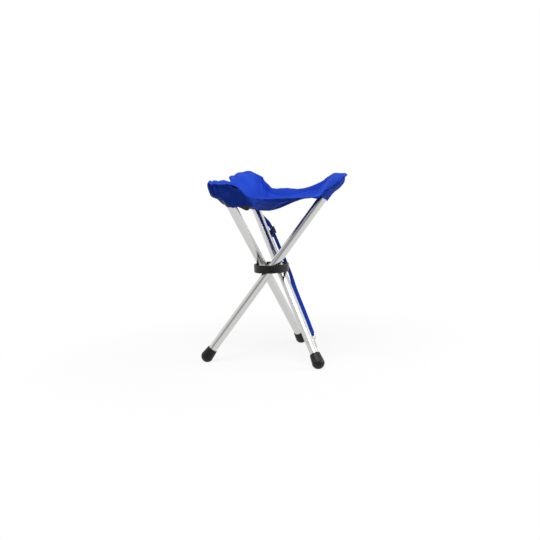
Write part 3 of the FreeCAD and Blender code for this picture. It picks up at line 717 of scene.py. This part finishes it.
def folds(leg, x, y, share):
    """What folds, creases, unevenness and the sewn hem add to the cloth's height."""
    along = x * leg.corner.x + y * leg.corner.y
    across = x * leg.beside.x + y * leg.beside.y
    seed = 7.0 * LEGS.index(leg.name) + 3.0
    distance = np.hypot(along - MOUTH_ALONG, across)
    angle = np.arctan2(across, MOUTH_ALONG - along)
    waver = noise_at(angle * SWAY_RATE, distance / SWAY_SIZE, seed)
    fan = 0.5 + 0.5 * np.sin(FOLD_COUNT * angle + FOLD_SWAY * waver)
    fan_share = np.exp(-distance / FOLD_FADE) * smooth_step(distance / FOLD_START)
    up_corner = smooth_step((along - CORNER_FROM) / CORNER_OVER)
    drift = noise_at(along / DRIFT_LENGTH, across / DRIFT_WIDTH, seed + 1)
    crease = 0.5 + 0.5 * np.sin(2 * math.pi * across / CREASE_WIDTH + CREASE_DRIFT * drift)
    raised = FOLD_HEIGHT * fan * fan_share * (1 - up_corner) + CREASE_HEIGHT * crease * up_corner
    lumps = noise_at(x / LUMP_SIZE, y / LUMP_SIZE, LUMP_SEED)
    lumps += SMALL_LUMPS * noise_at(x / SMALL_LUMP_SIZE, y / SMALL_LUMP_SIZE, SMALL_LUMP_SEED)
    uneven = UNEVEN * lumps * smooth_step(share / CALM_MIDDLE) * (1 - CALM_CORNER * up_corner)
    wave = noise_at(x / WAVE_SIZE, y / WAVE_SIZE, WAVE_SEED) * smooth_step((share - WAVE_FROM) / WAVE_OVER)
    inside = np.hypot(x, y) * (1 / np.maximum(share, LEAST_SHARE) - 1)  # distance from the edge
    groove = HEM_GROOVE * np.exp(-(((inside - GROOVE_AT) / GROOVE_WIDTH) ** 2))
    step = HEM_STEP * smooth_step((HEM_STEP_AT - inside) / HEM_STEP_SOFT + 0.5)
    roll = HEM_ROLL * np.clip(1 - inside / ROLL_WIDTH, 0, 1) ** 2
    return raised + uneven + HEM_WAVE * wave + step - groove - roll


# %% [markdown]
# A point of the cloth is named by its column on the hem and its share of the way out. The hem's own height
# fades into the dish within a short distance.

# %% Points of the cloth
HEM_FADE = 20 * MM


def seat_points(columns, shares, folded=True):
    """Points of the cloth's top, for hem columns and the share of the way out on each."""
    rim = hem[columns % len(hem)]
    x = rim[:, 0] * shares
    y = rim[:, 1] * shares
    z = np.zeros(len(x))
    owner = (columns % len(hem)) // SECTOR_COLUMNS
    for i, name in enumerate(LEGS):
        mine = owner == i
        leg = legs[name]
        plain = dish_and_pocket(leg, x[mine], y[mine], shares[mine])
        at_hem = dish_and_pocket(leg, rim[mine, 0], rim[mine, 1], np.ones(mine.sum()))
        lift = (rim[mine, 2] - at_hem) * shares[mine] ** (np.hypot(rim[mine, 0], rim[mine, 1]) / HEM_FADE)
        z[mine] = plain + lift
        if folded:
            z[mine] += folds(leg, x[mine], y[mine], shares[mine])
    return np.stack([x, y, z], 1)


# %% [markdown]
# ## The seat's cloth
#
# The cloth has a top and an underside, and its edge is turned in and sewn, so it is twice as thick in a
# band along the hem. Each column of the grid runs from the middle along the top, round the edge and back
# along the underside.

# %% Seat grid
CLOTH_THICK = 1.1 * MM
HEM_THICK = 2.3 * MM
HEM_BAND = 12 * MM
BAND_RINGS = (10.8 * MM, 9.6 * MM, 8.4 * MM, 5.5 * MM, 3.4 * MM, 1.7 * MM, 0.6 * MM, 0.0)
SEAT_RINGS = 46


def ring_shares(column):
    """One column's rings as shares of the way out: even to the band, then set distances from the edge."""
    radius = np.linalg.norm(hem[column % len(hem), :2])
    inner = 1 - HEM_BAND / radius
    even = [inner * k / SEAT_RINGS for k in range(SEAT_RINGS + 1)]
    return np.array(even + [1 - distance / radius for distance in BAND_RINGS])


def grid_normals(points):
    """Unit normals of a closed ring of columns, by differences along and across."""
    across = np.roll(points, -1, 0) - np.roll(points, 1, 0)
    along = np.gradient(points, axis=1)
    normals = np.cross(along, across)
    normals /= np.maximum(np.linalg.norm(normals, axis=2, keepdims=True), 1e-12)
    middle = normals[:, 1].mean(0)
    normals[:, 0] = middle / np.linalg.norm(middle)
    return normals


columns = np.arange(len(hem))
share_grid = np.stack([ring_shares(column) for column in columns])
rings = share_grid.shape[1]
top = seat_points(np.repeat(columns, rings), share_grid.ravel()).reshape(len(hem), rings, 3)
normals = grid_normals(top)
thick = np.full(rings, CLOTH_THICK)
thick[SEAT_RINGS + 1:] = HEM_THICK
under = top - normals * thick[None, :, None]
outward = top[:, -1] - top[:, -2]
outward /= np.linalg.norm(outward, axis=1, keepdims=True)
edge = (top[:, -1] + under[:, -1]) / 2 + outward * (HEM_THICK / 2)
seat_meridian = np.concatenate([top, edge[:, None], under[:, ::-1]], axis=1)
seat_normals = np.concatenate([normals, outward[:, None], -normals[:, ::-1]], axis=1)
print("top of the cloth", round(top[..., 2].max(), 4), "middle", round(top[0, 0, 2], 4))

# %% [markdown]
# The sheet is cut into three sectors, one for each corner, because each corner bends with its own leg when
# the stool folds. The sectors share their normals along the cuts, so no line shows.

# %% Seat sectors
UV_SLANT = 0.35  # how much of the height goes into the UV, so that steep cloth isn't stretched


def cloth_uv(place):
    """UV from the plan: the cloth was cut flat, and its threads run straight across it."""
    slant = UV_SLANT * (place[2] - hub.z)
    return place[0] + slant, place[1] + slant


def sector_columns(index):
    """The hem columns of one sector, with the first of the next one."""
    return np.arange(index * SECTOR_COLUMNS, (index + 1) * SECTOR_COLUMNS + 1) % len(hem)


def add_piece(name, mesh):
    piece = bpy.data.objects.new(name, mesh)
    bpy.context.collection.objects.link(piece)
    return piece


def sector_object(name, own):
    """One corner's sector of the sheet as a closed mesh, with the whole sheet's normals."""
    points, ways = seat_meridian[own], seat_normals[own]
    count, rows = points.shape[:2]

    def index(i, k):
        if k in (0, rows - 1):
            return 0 if k == 0 else 1
        return 2 + i * (rows - 2) + k - 1

    spots = [points[0, 0], points[0, -1], *points[:, 1:-1].reshape(-1, 3)]
    directions = [ways[0, 0], ways[0, -1], *ways[:, 1:-1].reshape(-1, 3)]
    cloth_faces = [
        [index(i, k), index(i + 1, k), index(i + 1, k + 1), index(i, k + 1)]
        for i in range(count - 1)
        for k in range(rows - 1)
    ]
    cut_faces = []
    for k in range(rows // 2):
        wall = [index(0, k), index(0, k + 1), index(0, rows - 2 - k), index(0, rows - 1 - k)]
        other = [index(count - 1, row) for row in (rows - 1 - k, rows - 2 - k, k + 1, k)]
        cut_faces += [wall, other]
    faces = [list(dict.fromkeys(face))[::-1] for face in cloth_faces + cut_faces]
    mesh = bpy.data.meshes.new(name)
    mesh.from_pydata(spots, [], faces)
    layer = mesh.uv_layers.new(name="cloth")
    loop_normals = []
    for polygon in mesh.polygons:
        polygon.use_smooth = True
        on_cloth = polygon.index < len(cloth_faces)
        for loop in polygon.loop_indices:
            vertex = mesh.loops[loop].vertex_index
            layer.data[loop].uv = cloth_uv(spots[vertex])
            loop_normals.append(directions[vertex] if on_cloth else tuple(polygon.normal))
    mesh.normals_split_custom_set(loop_normals)
    return add_piece(name, mesh)


seat_pieces = {}
for i, name in enumerate(LEGS):
    piece = sector_object("seat_cloth_" + name, sector_columns(i))
    dress(piece, seat_cloth)
    seat_pieces[name] = piece
    print(piece.name, len(piece.data.polygons), "faces")

# %% [markdown]
# ## Stitching
#
# A row of thread holds the folded hem. Each stitch is a short tapered bar laid on the cloth, and the row
# is worked out by walking along the hem.

# %% Hem stitches
STITCH_PITCH = 4.2 * MM
STITCH_LENGTH = 3.0 * MM
STITCH_RADIUS = 0.33 * MM
STITCH_SIDES = 5
STITCH_AT = 6.8 * MM  # from the edge
STITCH_RING = -5  # the ring of the grid beside the row, which gives the way up
STITCH_RAISE = 0.3  # how far a stitch stands out of the cloth, as a share of its radius
STITCH_SPOTS = (-0.5, -0.3, 0.3, 0.5)  # along a stitch, as shares of its length
STITCH_TAPER = (0.35, 1.0, 1.0, 0.35)  # its thickness at those spots


def stitch_bars(path, lift, name):
    """Short bars along a path of points, each with a lift direction, as one mesh."""
    spans = np.linalg.norm(np.diff(path, axis=0), axis=1)
    reach = np.concatenate([[0], np.cumsum(spans)])
    made = bmesh.new()
    for k in range(int(reach[-1] / STITCH_PITCH)):
        places = (k + 0.5) * STITCH_PITCH + np.array(STITCH_SPOTS) * STITCH_LENGTH
        spots = np.stack([np.interp(places, reach, path[:, axis]) for axis in range(3)], 1)
        rise = np.array([np.interp((k + 0.5) * STITCH_PITCH, reach, lift[:, axis]) for axis in range(3)])
        way = spots[-1] - spots[0]
        way /= np.linalg.norm(way)
        aside = np.cross(way, rise)
        loops = []
        for spot, size in zip(spots, STITCH_TAPER):
            loop = []
            for j in range(STITCH_SIDES):
                turn = 2 * math.pi * j / STITCH_SIDES
                ring = aside * math.cos(turn) + rise * math.sin(turn)
                loop.append(made.verts.new(spot + ring * STITCH_RADIUS * size))
            loops.append(loop)
        for first, second in zip(loops, loops[1:]):
            for j in range(STITCH_SIDES):
                n = (j + 1) % STITCH_SIDES
                made.faces.new((first[j], first[n], second[n], second[j]))
        made.faces.new(loops[0][::-1])
        made.faces.new(loops[-1])
    bmesh.ops.recalc_face_normals(made, faces=made.faces)
    mesh = bpy.data.meshes.new(name)
    made.to_mesh(mesh)
    made.free()
    mesh.uv_layers.new(name="cloth")
    piece = add_piece(name, mesh)
    dress(piece, stitch_thread)
    return piece


stitch_pieces = {}
radii = np.linalg.norm(hem[:, :2], axis=1)
stitch_row = seat_points(columns, 1 - STITCH_AT / radii)
for i, name in enumerate(LEGS):
    own = sector_columns(i)
    lift = normals[own, STITCH_RING]
    path = stitch_row[own] + lift * STITCH_RADIUS * STITCH_RAISE
    stitch_pieces[name] = stitch_bars(path, lift, "seat_stitches_" + name)
    print(stitch_pieces[name].name, len(stitch_pieces[name].data.polygons), "faces")

# %% [markdown]
# ## Pockets
#
# A blue patch is sewn to the underside of each corner, along the corner's edge, and makes a tent round the
# tube's end. Inside it a black vinyl sleeve takes the wear, and its mouth shows below the patch. The
# mouths come first, as a height up the tube for each place across the corner.

# %% Pocket mouths
PATCH_MOUTH = {"a": 218 * MM, "c": 214 * MM, "b": 217.5 * MM}  # up the tube from the pivot
MOUTH_FALL = {"a": 0.2, "c": 0.4, "b": 0.55}  # how fast the mouth falls on the inner side of the tube
MOUTH_CLIMB = {"a": 0 * MM, "c": 10 * MM, "b": 22 * MM}  # how far it climbs to the outer side
CLIMB_FROM = {"a": 0 * MM, "c": 4 * MM, "b": -10 * MM}  # where that climb starts, across the corner
CLIMB_WIDE = 14 * MM
VINYL_BEHIND = 3 * MM  # the vinyl's mouth stays this far inside the patch's, except where it shows
VINYL_SHOWS = {  # where it shows, across the corner: from, to, and how far below the patch
    "a": ((-30 * MM, -4 * MM, 9 * MM),),
    "c": ((-34 * MM, -8 * MM, 9 * MM), (8 * MM, 27 * MM, 10 * MM)),
    "b": ((-46 * MM, -12 * MM, 17 * MM), (-11 * MM, 20 * MM, 25 * MM)),
}


def to_leg(leg, points):
    """Points in a leg's own axes."""
    return (points - np.array(leg.pivot)) @ np.array(leg.turn())


def patch_mouth(leg, out):
    """Height of the patch's mouth up the tube, at places across the corner."""
    climb = MOUTH_CLIMB[leg.name] * smooth_step((out - CLIMB_FROM[leg.name]) / CLIMB_WIDE)
    return PATCH_MOUTH[leg.name] + climb - MOUTH_FALL[leg.name] * np.maximum(-out, 0)


def vinyl_mouth(leg, out):
    mouth = patch_mouth(leg, out) + VINYL_BEHIND
    for first, last, below in VINYL_SHOWS[leg.name]:
        mouth -= below * np.sin(math.pi * np.clip((out - first) / (last - first), 0, 1)) ** 2
    return mouth


# %% [markdown]
# A tent is the tightest band round the tube between the two seams. The patch is looser near the tube's
# end, where folds run up it, and it closes past that end.

# %% Tent forms
PATCH_RADIUS = 12.6 * MM
PATCH_LOOSE = 5.6 * MM  # more radius near the tube's end
LOOSE_FROM, LOOSE_TO = 236 * MM, 268 * MM
CLOSE_FROM = 274 * MM
CLOSE_RATE = 25.0  # how fast the tent closes past the tube's end, per metre
PATCH_WAVE, PATCH_WAVE_SEED = 4.2 * MM, 21.0
PATCH_FOLD = {"a": 0.6 * MM, "c": 1.4 * MM, "b": 3.6 * MM}  # folds that run up the patch
PATCH_FOLD_WIDTH = 23 * MM
PATCH_SWAY, PATCH_SWAY_SEED = 4.0, 23.0
PATCH_WAVE_SIZE = (13 * MM, 42 * MM)  # across and up the patch
PATCH_SWAY_SIZE = (45 * MM, 50 * MM)


def seam_lines(leg, edge_points):
    """The hem of one corner in its leg's axes, as the side before the tip and the side after it."""
    local = to_leg(leg, edge_points)
    tip = int(np.argmax(local[:, 2]))
    return local[:tip + 1], local[:tip - 1:-1]


def tent_depth(out, up, seams, radius, centre):
    """How far under the tube's axis a taut band round a circle lies, between seams at both sides."""
    round_part = centre + np.sqrt(np.maximum(radius**2 - out**2, 0))
    depth = np.where(np.abs(out) < radius, round_part, -1.0)
    for seam in seams:
        seam_out = np.interp(up, seam[:, 2], seam[:, 0])
        seam_under = np.interp(up, seam[:, 2], seam[:, 1])
        side = np.sign(seam_out)
        wide, high = np.abs(seam_out), seam_under - centre
        span = np.maximum(np.hypot(wide, high), radius * 1.001)
        touch = np.arctan2(wide, high) - np.arccos(np.clip(radius / span, -1, 1))
        touch_out, touch_under = radius * np.sin(touch), centre + radius * np.cos(touch)
        reach = np.clip((side * out - touch_out) / np.maximum(wide - touch_out, 1e-6), 0, 1)
        straight = touch_under + reach * (seam_under - touch_under)
        depth = np.where(side * out > touch_out, straight, depth)
    return depth


def patch_depth(leg, out, up, seams):
    loose = smooth_step((up - LOOSE_FROM) / (LOOSE_TO - LOOSE_FROM))
    radius = PATCH_RADIUS + PATCH_LOOSE * loose
    centre = -CLOSE_RATE * np.clip(up - CLOSE_FROM, 0, None) ** 2
    wave = noise_at(out / PATCH_WAVE_SIZE[0], up / PATCH_WAVE_SIZE[1], PATCH_WAVE_SEED)
    sway = noise_at(out / PATCH_SWAY_SIZE[0], up / PATCH_SWAY_SIZE[1], PATCH_SWAY_SEED)
    fold = np.sin(2 * math.pi * out / PATCH_FOLD_WIDTH + PATCH_SWAY * sway)
    slack = PATCH_WAVE * wave + PATCH_FOLD[leg.name] * fold
    return tent_depth(out, up, seams, radius, centre) + slack * loose


# %% [markdown]
# A tent follows the grid of the corner above it: each point of the corner is moved square to the tube,
# away from the seat, until it lies on the tent.

# %% Tent grids
EAR_STOPS = (1.4, 10.6)  # the corner's own stretch of hem, in stops from the middle of the edge before it
MOUTH_SEARCH = (0.4, 1.0, 61)  # shares of the way out where a column is searched for a mouth line


def ear_columns(index):
    start = index * SECTOR_COLUMNS
    first, last = [start + int(stop * STEPS_PER_STOP) for stop in EAR_STOPS]
    return np.arange(first, last + 1)


def share_at(leg, column, mouth):
    """The share of the way out on a column where it passes a mouth line, or None if it never does."""
    shares = np.linspace(*MOUTH_SEARCH)
    local = to_leg(leg, seat_points(np.full(len(shares), column), shares, folded=False))
    past = local[:, 2] - mouth(local[:, 0])
    beyond = np.nonzero(past > 0)[0]
    if len(beyond) == 0 or beyond[0] == 0:
        return None
    k = beyond[0]
    return shares[k - 1] + (shares[k] - shares[k - 1]) * past[k - 1] / (past[k - 1] - past[k])


def open_normals(points):
    """Unit normals of a grid of points, upwards."""
    normals = np.cross(np.gradient(points, axis=1), np.gradient(points, axis=0))
    return normals / np.maximum(np.linalg.norm(normals, axis=2, keepdims=True), 1e-12)


def tent_grid(leg, column_shares, rows, end_share, depth_of, gap):
    """A grid of points on a tent, a gap or more under the cloth's top.

    Each column starts at its mouth and goes to end_share of the way out.
    """
    own = np.repeat([column for column, start in column_shares], rows)
    shares = np.array([np.linspace(start, end_share(column), rows) for column, start in column_shares])
    cloth = seat_points(own, shares.ravel()).reshape(-1, rows, 3)
    cloth = cloth - open_normals(cloth) * gap
    local = to_leg(leg, cloth)
    drop = np.maximum(depth_of(local[..., 0], local[..., 2]) - local[..., 1], 0)
    return cloth + drop[..., None] * np.array(leg.under)


# %% [markdown]
# A grid of points becomes a sheet: a mesh with a UV map in metres of cloth, joined where points fall
# together, and then made thick.


# %% Sheets
def grid_object(name, points, closed=False):
    """A mesh of quads over an array of columns by rows, with UV in metres of cloth."""
    count, rows = points.shape[:2]
    mesh = bpy.data.meshes.new(name)
    spans = count if closed else count - 1
    faces = [
        (i * rows + k, i * rows + k + 1, (i + 1) % count * rows + k + 1, (i + 1) % count * rows + k)
        for i in range(spans)
        for k in range(rows - 1)
    ]
    mesh.from_pydata(points.reshape(-1, 3).tolist(), [], faces)
    lengths = np.zeros((count, rows, 2))
    lengths[:, 1:, 1] = np.cumsum(np.linalg.norm(np.diff(points, axis=1), axis=2), axis=1)
    lengths[1:, :, 0] = np.cumsum(np.linalg.norm(np.diff(points, axis=0), axis=2), axis=0)
    layer = mesh.uv_layers.new(name="cloth")
    flat = lengths.reshape(-1, 2)
    for loop in mesh.loops:
        layer.data[loop.index].uv = flat[loop.vertex_index]
    return add_piece(name, mesh)


def select_only(piece):
    bpy.ops.object.select_all(action="DESELECT")
    piece.select_set(True)
    bpy.context.view_layer.objects.active = piece


def apply_modifier(piece, kind, **settings):
    select_only(piece)
    modifier = piece.modifiers.new(kind.title(), kind)
    for name, value in settings.items():
        setattr(modifier, name, value)
    bpy.ops.object.modifier_apply(modifier=modifier.name)


def merge_and_smooth(piece):
    """Joins doubled points, drops faces without area and shades the piece smooth."""
    tidy = bmesh.new()
    tidy.from_mesh(piece.data)
    bmesh.ops.remove_doubles(tidy, verts=tidy.verts, dist=1e-7)
    bmesh.ops.dissolve_degenerate(tidy, edges=tidy.edges, dist=1e-8)
    for face in tidy.faces:
        face.smooth = True
    tidy.to_mesh(piece.data)
    tidy.free()


def tent_piece(name, points, thickness, material):
    """A tent's grid as a sheet that is thick on its outer side."""
    piece = grid_object(name, points)
    merge_and_smooth(piece)
    apply_modifier(piece, "SOLIDIFY", thickness=thickness, offset=-1.0)
    dress(piece, material)
    return piece


# %% [markdown]
# Each corner gets its patch and its sleeve. A column of the grid takes part if it passes the mouth before
# the edge.

# %% Patches and sleeves
PATCH_GAP = 0.15 * MM  # under the seat's cloth
PATCH_THICK = 1.0 * MM
PATCH_ROWS = 26
PATCH_LAST = 0.985  # a column whose mouth is further out than this share is left out
VINYL_RADIUS = 11.3 * MM
VINYL_THICK = 0.8 * MM
VINYL_HALF = 40 * MM  # half its width
VINYL_DEEP = 30 * MM  # from its mouth to its far end
VINYL_GAP = 0.2 * MM
VINYL_INSET = 0.975  # it ends inside the patch's seams
VINYL_ROWS = 16
VINYL_LEAST = 0.05  # the least share of the way out that a column of it takes up


def pocket_patch(index, leg):
    own = ear_columns(index)
    seams = seam_lines(leg, hem[own % len(hem)])
    starts = [(column, share_at(leg, column, lambda out: patch_mouth(leg, out))) for column in own]
    starts = [(column, start) for column, start in starts if start is not None and start < PATCH_LAST]
    points = tent_grid(
        leg,
        starts,
        PATCH_ROWS,
        lambda column: 1.0,
        lambda out, up: patch_depth(leg, out, up, seams),
        HEM_THICK + PATCH_GAP,
    )
    return tent_piece("pocket_patch_" + leg.name, points, PATCH_THICK, seat_cloth)


def vinyl_sleeve(index, leg):
    own = ear_columns(index)
    seams = [seam * (VINYL_INSET, 1, 1) for seam in seam_lines(leg, hem[own % len(hem)])]
    starts = []
    for column in own:
        start = share_at(leg, column, lambda out: vinyl_mouth(leg, out))
        if start is None or start > VINYL_INSET - VINYL_LEAST:
            continue
        mouth = to_leg(leg, seat_points(np.array([column]), np.array([start]), folded=False))
        if abs(mouth[0, 0]) < VINYL_HALF:
            starts.append((column, start))

    def end_share(column):
        deep = share_at(leg, column, lambda out: vinyl_mouth(leg, out) + VINYL_DEEP)
        return VINYL_INSET if deep is None else min(deep, VINYL_INSET)

    points = tent_grid(
        leg,
        starts,
        VINYL_ROWS,
        end_share,
        lambda out, up: tent_depth(out, up, seams, VINYL_RADIUS, 0.0),
        HEM_THICK + VINYL_GAP,
    )
    return tent_piece("pocket_sleeve_" + leg.name, points, VINYL_THICK, pocket_vinyl)


patches = {}
sleeves = {}
for i, name in enumerate(LEGS):
    patches[name] = pocket_patch(i, legs[name])
    sleeves[name] = vinyl_sleeve(i, legs[name])
    print(patches[name].name, len(patches[name].data.polygons), "faces")

# %% [markdown]
# ## Strap
#
# The strap is flat webbing. It runs from the metal loop near the foot, past the outside of the ring, to
# the pocket, turning a quarter round the tube on its way. It is a band swept along that line: at each step
# the band faces away from the tube, and its edges are rounded and its face is slightly cupped, as webbing
# is.

# %% Webbing
STRAP_WIDTH = 15 * MM
STRAP_THICK = 1.5 * MM
STRAP_CUP = 1.2 * MM
STRAP_HALF = STRAP_THICK / 2
LOOP_HEIGHT = -203 * MM
LOOP_OUT = 15.2 * MM  # tube axis to the loop's bar
LOOP_TURN = 1.3 * MM + STRAP_HALF  # the bar's middle to the middle of the strap round it
TAIL_MEETS, TAIL_END = 12 * MM, 24 * MM  # the tail, up from the bar
STRAP_ROUTE = (  # height up the tube from the pivot, distance from its axis, turn round it and twist, cup
    (LOOP_HEIGHT, LOOP_OUT + LOOP_TURN, 0.0, 0.0, 0.0),
    (-166 * MM, 18.4 * MM, 8.0, 12.0, 1.0),
    (-118 * MM, 19.9 * MM, 13.0, 14.0, 1.0),
    (-80 * MM, 21.1 * MM, 17.0, 14.0, 1.0),
    (-60 * MM, 21.7 * MM, 15.0, 13.0, 1.0),
    (-26 * MM, 22.7 * MM, 0.0, 0.0, 0.4),
    (26 * MM, 22.7 * MM, 0.0, 0.0, 0.3),
    (128 * MM, 21.2 * MM, 0.0, 0.0, 0.3),
    (204.6 * MM, 14.2 * MM, 90.0, 0.0, 0.3),
    (212 * MM, 14.2 * MM, 90.0, 0.0, 0.3),
)
STRAP_STEP = 3 * MM
SOFT_STATIONS = 7  # how many stations each bend is spread over
SECTION_STEPS, TAIL_STEPS = 9, 9
TAIL_GAP = 0.1 * MM
TAIL_STATION = 8  # the tail lies along the line from the loop to this station


def strap_stations():
    """Height, distance, turn, twist and cup along the strap, with soft bends."""
    knots = np.array(STRAP_ROUTE)
    heights = np.arange(knots[0, 0], knots[-1, 0], STRAP_STEP)
    dense = np.stack([np.interp(heights, knots[:, 0], knots[:, k]) for k in (1, 2, 3, 4)], 1)
    window = np.ones(SOFT_STATIONS) / SOFT_STATIONS
    beyond = SOFT_STATIONS // 2
    padded = np.pad(dense, ((beyond, beyond), (0, 0)), mode="edge")
    soft = np.stack([np.convolve(padded[:, k], window, mode="valid") for k in range(4)], 1)
    return np.column_stack([heights, soft])


def band_section(cup_share):
    """The webbing's cross-section as (across, off the face): a thin bar with round edges, slightly cupped."""
    half = STRAP_WIDTH / 2
    across = np.linspace(STRAP_HALF - half, half - STRAP_HALF, SECTION_STEPS)
    cup = cup_share * STRAP_CUP * (0.5 - (across / half) ** 2)
    outer_side = list(zip(across, cup + STRAP_HALF))
    inner_side = list(zip(across[::-1], cup[::-1] - STRAP_HALF))
    return outer_side + [(half, cup[-1])] + inner_side + [(-half, cup[0])]


def tail_and_turn(leg, first_height, first_distance):
    """Middles and facings from the sewn tail down, round the loop's bar and up to the strap."""
    lean = (first_distance - LOOP_OUT - LOOP_TURN) / (first_height - LOOP_HEIGHT)
    spots = []
    for up in np.linspace(TAIL_END, 0, TAIL_STEPS):
        beside = LOOP_OUT + LOOP_TURN + lean * up - STRAP_THICK - TAIL_GAP
        apart = np.clip(1 - up / TAIL_MEETS, 0, 1)
        spots.append((beside + apart * (LOOP_OUT - LOOP_TURN - beside), LOOP_HEIGHT + up, math.pi))
    for turn in np.linspace(math.pi, 2 * math.pi, TAIL_STEPS)[1:-1]:
        spots.append((LOOP_OUT + LOOP_TURN * math.cos(turn), LOOP_HEIGHT + LOOP_TURN * math.sin(turn), turn))
    return [
        (leg.place(out, 0, up), leg.out * math.cos(turn) + leg.axis * math.sin(turn))
        for out, up, turn in spots
    ]


def webbing_strap(leg):
    stations = strap_stations()
    tail = tail_and_turn(leg, *stations[TAIL_STATION, :2])
    rows = [(middle, facing, leg.under, 0.0) for middle, facing in tail]
    for height, away, turn, twist, cup in stations:
        around, angle = math.radians(turn), math.radians(turn + twist)
        middle = leg.place(away * math.cos(around), away * math.sin(around), height)
        facing = leg.out * math.cos(angle) + leg.under * math.sin(angle)
        wide = leg.under * math.cos(angle) - leg.out * math.sin(angle)
        rows.append((middle, facing, wide, cup))
    loops = []
    for middle, facing, wide, cup in rows:
        loops.append([tuple(middle + wide * a + facing * b) for a, b in band_section(cup)])
    piece = grid_object("strap_webbing", np.array(loops).transpose(1, 0, 2), closed=True)
    merge_and_smooth(piece)
    select_only(piece)
    bpy.ops.object.mode_set(mode="EDIT")
    bpy.ops.mesh.select_all(action="SELECT")
    bpy.ops.mesh.fill_holes(sides=0)
    bpy.ops.mesh.normals_make_consistent(inside=False)
    bpy.ops.object.mode_set(mode="OBJECT")
    dress(piece, strap_webbing)
    return piece


strap = webbing_strap(legs["c"])
print("strap", len(strap.data.polygons), "faces")

# %% [markdown]
# ## Slider
#
# The CAD slider has square edges. A copy of it gets small rounded edges, as a moulded buckle has.

# %% Rounded slider
SLIDER_EDGE = 0.5 * MM
FLAT_ANGLE = math.radians(2)


def rounded_copy(name, width):
    """A copy of a CAD piece, cleaned to its true edges, with those edges rounded."""
    piece = frame["nodes"][name].copy()
    piece.data = piece.data.copy()
    piece.name = name + "_rounded"
    bpy.context.collection.objects.link(piece)
    merge_and_smooth(piece)
    clean = bmesh.new()
    clean.from_mesh(piece.data)
    bmesh.ops.dissolve_limit(clean, angle_limit=FLAT_ANGLE, verts=clean.verts, edges=clean.edges)
    clean.to_mesh(piece.data)
    clean.free()
    apply_modifier(piece, "BEVEL", width=width, segments=2, limit_method="ANGLE", harden_normals=True)
    return piece


slider = rounded_copy("strap_slider", SLIDER_EDGE)
print("slider", len(slider.data.polygons), "faces")

# %% [markdown]
# ## What moves with what
#
# The seat's sectors and stitches are set in place, and the CAD seat is hidden. The patches and sleeves ride
# on their legs, and so does the strap; the rounded slider rides on the slider. Each CAD piece that a new one
# replaces is hidden.


for name in LEGS:
    for piece in (seat_pieces[name], stitch_pieces[name]):
        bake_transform(piece)
        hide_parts("seat_panel")
    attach(patches[name], "leg_" + name)
    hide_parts("pocket_cover_" + name)
    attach(sleeves[name], "leg_" + name)
    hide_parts("corner_pocket_" + name)
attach(strap, "leg_c")
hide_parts("carry_strap")
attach(slider, "slider")
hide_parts("strap_slider")
